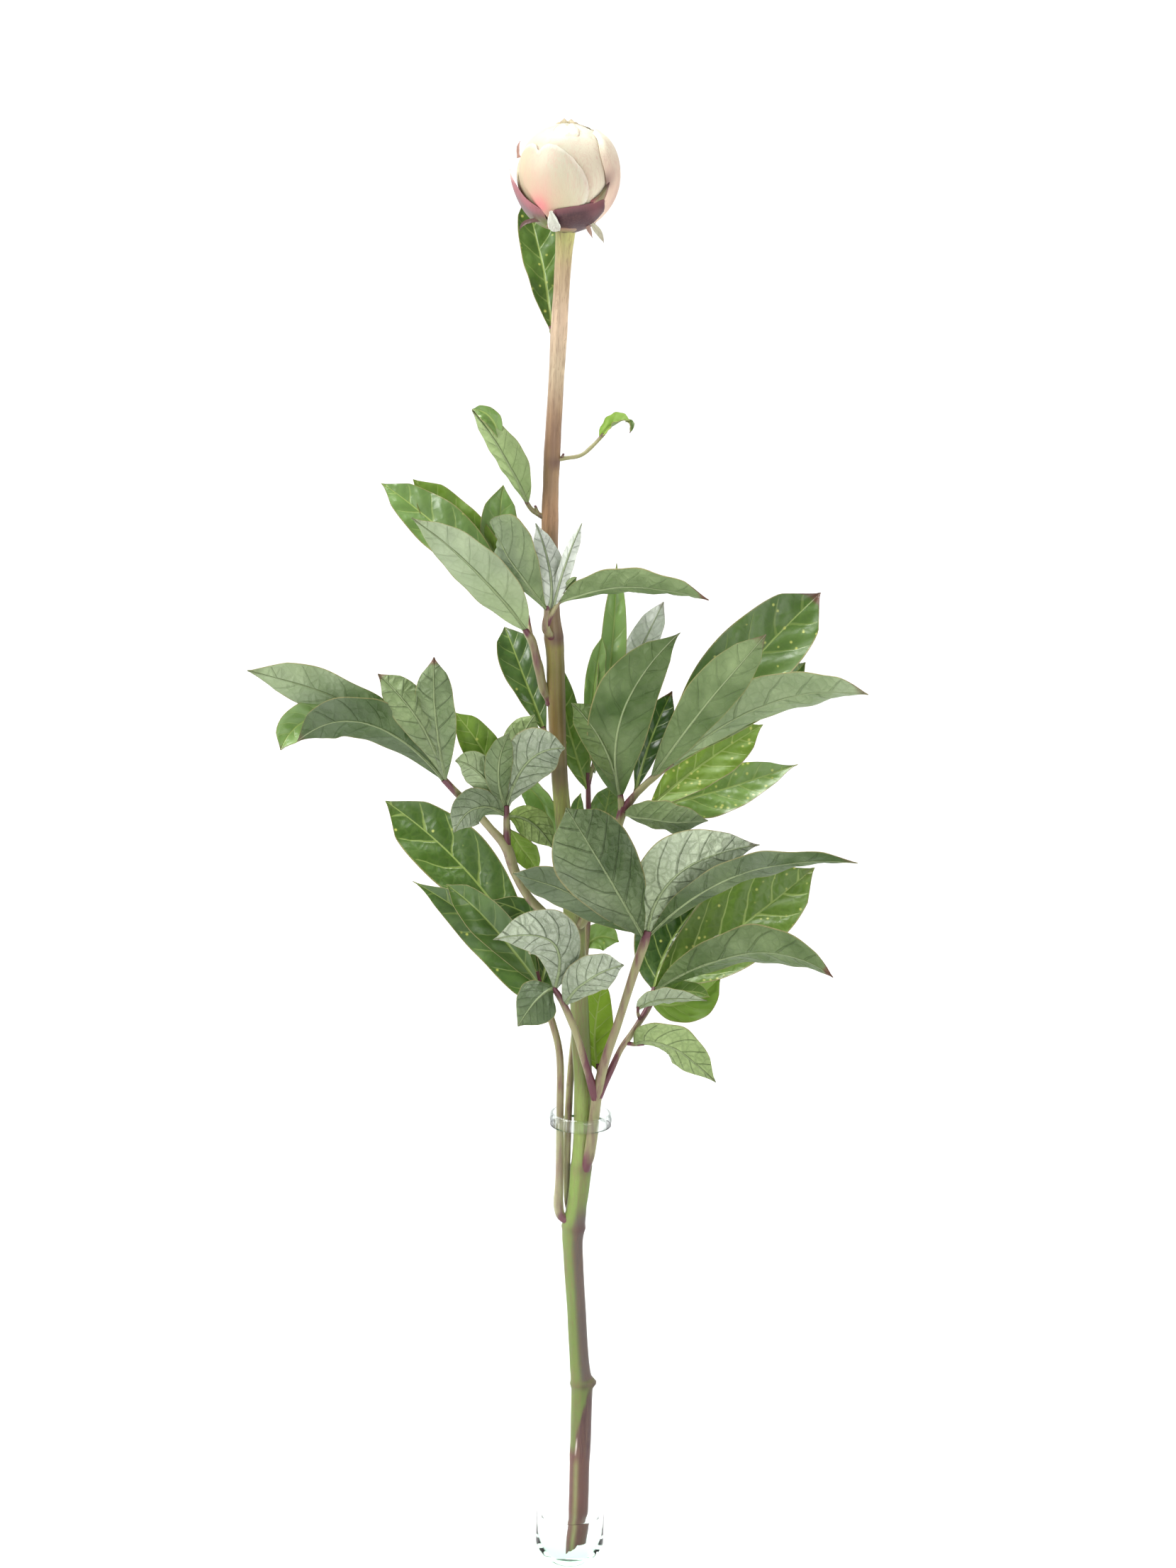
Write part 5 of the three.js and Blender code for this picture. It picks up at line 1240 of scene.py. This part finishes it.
sepals = {
    "leftSepal": {"out": 3.1, "lift": 0.8, "tuck": (0.3, 1.2, 0, 1.2), "tone": leftSepalTone,
                  "bounds": [(14, 150, 236), (45, 146, 237), (55, 146, 236), (68, 148, 229), (80, 152, 218),
                             (88, 160, 205), (94, 168, 194)],
                  "top": [(-1, 66), (-0.6, 84), (-0.25, 94), (0.1, 91), (0.5, 80), (0.8, 68), (1, 55)]},
    "frontSepal": {"out": 3.0, "tuck": (1.0, 0.8, 1.1, 0), "tone": darkTone,
                   "bounds": [(12, 246, 322), (40, 247, 330), (58, 249, 331), (72, 252, 330)],
                   "top": [(-1, 54), (-0.8, 59), (-0.4, 63), (0, 65), (0.4, 68), (0.75, 70), (1, 60)]},
    "innerSepal": {"out": 1.75, "tuck": (0.7, 0.4, 0.7, 0), "tone": innerSepalTone, "wave": 0.5,
                   "bounds": [(50, 296, 330), (70, 303, 326), (80, 311, 326), (92, 318, 328)],
                   "top": [(-1, 68), (-0.3, 76), (0.3, 86), (0.8, 92), (1, 90)]},
    "backSepal": {"out": 3.3, "lift": 0.5, "tone": leftSepalTone, "wave": 0.5,
                  "bounds": [(14, 55, 125), (45, 50, 132), (70, 58, 124), (82, 70, 112)],
                  "top": [(-1, 52), (-0.4, 76), (0, 82), (0.4, 74), (1, 50)]},
    "cup": {"out": 2.9, "tone": cupTone, "wave": 0.1,
            "bounds": [(9, 130, 489.9), (34, 130, 489.9)]},
}

# Small bracts under the flower, in the leaf table's way, each with its colour
bracts = [
    ([[-21.8, 595.2, -17.8], [-20.6, 590.6, -16], [-19, 587, -13.2],
      6, 0.5, [0, -1, -0.2], None, 25, 25, 30, 0.3], (0.74, 0.75, 0.66)),
    ([[-24.6, 591.4, -10], [-31.6, 590.3, -9.5], [-34.3, 586.9, -9],
      1.8, 0.4, [0, -1, 0.3], None, 10, 10, 0, 0], (0.12, 0.06, 0.05)),
    ([[-7.3, 590.6, -10.2], [-6.2, 587.9, -9.4], [-4.8, 584.7, -8.6],
      1.8, 0.4, [0, -1, 0], None, 10, 10, 0, 0], (0.40, 0.26, 0.20)),
    ([[-5.5, 590.8, -9.6], [-2.3, 586.9, -8.6], [-0.1, 582.8, -8.2],
      2.6, 0.4, [0, -1, 0], None, 10, 10, 0, 0], (0.50, 0.48, 0.34)),
    ([[-35.2, 616.5, 1], [-35.7, 620, 1], [-34.9, 623.2, 1],
      1.2, 0.4, [0, -1, 0], None, 5, 5, 0, 0], (0.60, 0.36, 0.30)),
]


def makeFlower():
    draft = newDraft()
    for i, petal in enumerate(petals.values()):
        addPetal(draft, petal, i + 1)
    rings = []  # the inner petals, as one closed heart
    count, sides = budSet["heart"]
    low, high = budSet["heartSpan"]
    for i in range(count):
        polar = low + (high - low) * i / (count - 1)
        ring = []
        for j in range(sides):
            azimuth = j * 360 / sides
            out = -0.9 + 0.9 * ramp(polar, 125, 150) + 0.25 * math.sin(j * 1.9 + polar * 0.05)
            tone = (*creamy(0, 0, azimuth, polar), 1)
            ring.append(addPoint(draft, budPoint(azimuth, polar, out)[0], (j, polar / 40), (0, 0), tone))
        if rings:
            joinRings(draft, rings[-1], ring, 0)
        rings.append(ring)
    addFace(draft, tuple(reversed(rings[0])), 0)
    addFace(draft, tuple(rings[-1]), 0)
    piece = makePiece("flowerPetals", draft, [skinFromTint("petalSkin", **budSet["petalSkin"])])
    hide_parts("bud_petals")
    draft = newDraft()
    for i, petal in enumerate(sepals.values()):
        addPetal(draft, petal, i + 21)
    for i, (row, tone) in enumerate(bracts):
        addBlade(draft, row, [(*tone, 1)] * 2, i + 61)
    skin = skinFromTint("sepalSkin", **budSet["sepalSkin"])
    piece = makePiece("flowerSepals", draft, [skin, skin])
    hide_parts("sepals")


makeFlower()
print("flower made")

# ---- vase and water ----

vaseSet = {
    "height": 213.0,
    "foot": 14.8,
    "neck": 12.9,
    "rim": 13.4,
    "wall": 2.0,
    "floor": 9.5,
    "under": [(0, 1.1), (7, 0.9), (10.5, 0.1), (12.8, 0), (14.3, 0.9)],  # radius and height
    "bowl": [(11.9, 20.5), (10.3, 15.4), (7.6, 11.8), (4, 9.8)],  # round floor inside, from the wall inwards
    "bowlTop": 27,
    "water": 31.0,
    "sunk": 0.06,  # the water reaches this far into the glass, so that no air shows between them
    "lipHeight": 6,
    "sides": 96,
    "glassColour": (0.99, 0.998, 0.992),
    "footColour": (0.72, 0.87, 0.78),  # thick glass round the foot
    "footFade": (0.030, 0.008),  # heights in metres
    "clearColour": (0.93, 0.97, 0.95),  # of light that passes to what stands inside
    "bend": 1.3,
    "lipBend": 1.12,  # the lip stays clear and takes its shine from a coat
    "lipCoat": 1.0,
    "lipClear": 0.5,
    "face": (0.2, 0.2, 0.2),  # share of the reflection left face on
    "waterBend": 1.12,  # below real water's, so that the stem shows no wider than in the photo
    "glassDepth": ((0.60, 0.86, 0.70), 5.0),  # colour through thick glass, per metre
    "waterColour": (0.99, 1.0, 0.995),
}


# A closed body turned from a profile of (radius, height), from axis to axis; what is above lipFrom has the
# second material
def turned(name, profile, materials, lipFrom=1e6):
    draft = newDraft()
    sides = vaseSet["sides"]
    rings = []
    for r, z in profile:
        ring = []
        for j in range(sides if r > 1e-6 else 1):
            w = 2 * math.pi * j / sides
            q = Vector((r * math.cos(w), r * math.sin(w), z))
            ring.append(addPoint(draft, q, (w, z), (0, 0), (1, 1, 1, 1)))
        rings.append(ring)
    for low, high, (_, z), (_, zNext) in zip(rings, rings[1:], profile, profile[1:]):
        joinRings(draft, low, high, 1 if min(z, zNext) >= lipFrom else 0)
    return makePiece(name, draft, materials, 40)


def roundedProfile(corners, sweep):  # rounds each inner corner of a profile with a few points
    made = [corners[0]]
    for before, at, after in zip(corners, corners[1:], corners[2:]):
        a, p, b = Vector(before), Vector(at), Vector(after)
        cut = min(sweep, (a - p).length * 0.45, (b - p).length * 0.45)
        first, last = p + (a - p).normalized() * cut, p + (b - p).normalized() * cut
        for k in range(5):
            t = k / 4
            q = first * (1 - t) ** 2 + p * (2 * t * (1 - t)) + last * t**2
            made.append((q.x, q.y))
    made.append(corners[-1])
    return made


def clearFinish(name, colour, index, depth=None, coat=0.0):
    material, tree = newMaterial(name)
    waviness = mottle(tree, 22, 2, (1, 1, 0.4))
    smear = times(tree, mottle(tree, 60), 0.03)
    tone = blendColours(tree, times(tree, waviness, 0.25), colour, (1, 1, 1))
    if depth:
        low = addNode(tree, "SeparateXYZ", {0: places(tree)}).outputs[2]
        tone = blendColours(tree, rising(tree, low, *vaseSet["footFade"]), tone, vaseSet["footColour"])
    shader = addNode(tree, "BsdfPrincipled", {
        "Base Color": tone, "Roughness": smear, "IOR": index, "Transmission Weight": 1.0,
        "Specular Tint": (*vaseSet["face"], 1), "Coat Weight": coat, "Coat Roughness": 0.02, "Coat IOR": 1.7,
    })
    addBump(tree, shader, waviness, 0.12, 0.0008)
    clear = addNode(tree, "BsdfTransparent", {"Color": (*vaseSet["clearColour"], 1)})
    lets = addNode(tree, "LightPath").outputs["Is Shadow Ray"]
    if coat:
        lets = calc(tree, "MAXIMUM", lets, vaseSet["lipClear"])
    both = addNode(tree, "MixShader", {0: lets, 1: shader.outputs[0], 2: clear.outputs[0]})
    end = addNode(tree, "OutputMaterial", {"Surface": both.outputs[0]})
    if depth:
        thick = addNode(tree, "VolumeAbsorption", {"Color": (*depth[0], 1), "Density": depth[1]})
        tree.links.new(thick.outputs[0], end.inputs["Volume"])
    return material


def innerRadius(z):
    return vaseSet["foot"] - vaseSet["wall"] + (vaseSet["neck"] - vaseSet["foot"]) * z / vaseSet["height"]


def makeVase():
    h, rim, glassColour = vaseSet["height"], vaseSet["rim"], vaseSet["glassColour"]
    outside = [*vaseSet["under"], (vaseSet["foot"], 3), (vaseSet["neck"], h - 5)]
    outside += [(rim, h - 2.6), (rim - 0.3, h - 0.6), (rim - 1.3, h), (rim - 2.3, h - 0.6)]
    top = vaseSet["bowlTop"]
    bowl = [(innerRadius(top), top), *vaseSet["bowl"], (0, vaseSet["floor"])]
    bowl = [curvePoint([Vector(p) for p in bowl], k / 24) for k in range(25)]
    bowl = [(max(0, p.x), p.y) for p in bowl]
    inside = [(innerRadius(z), z) for z in (h - 5, top + 12)]
    profile = roundedProfile([*outside, *inside], 5) + bowl
    glass = clearFinish("vaseGlass", glassColour, vaseSet["bend"], vaseSet["glassDepth"])
    lip = clearFinish("vaseLip", glassColour, vaseSet["lipBend"], vaseSet["glassDepth"], vaseSet["lipCoat"])
    piece = turned("glassVase", profile, [glass, lip], h - vaseSet["lipHeight"])
    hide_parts("vase")
    level, sunk = vaseSet["water"], vaseSet["sunk"]
    bed = [(r + sunk if r else 0, z - sunk) for r, z in reversed(bowl)]
    side = innerRadius(level)
    pool = [*bed, (side + sunk, level + 0.7), (side - 0.8, level + 0.15), (side - 2.2, level), (0, level)]
    water = clearFinish("vaseWater", vaseSet["waterColour"], vaseSet["waterBend"])
    piece = turned("vaseWater", pool, [water])
    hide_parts("water")


makeVase()
print("vase made")

print("all pieces made")
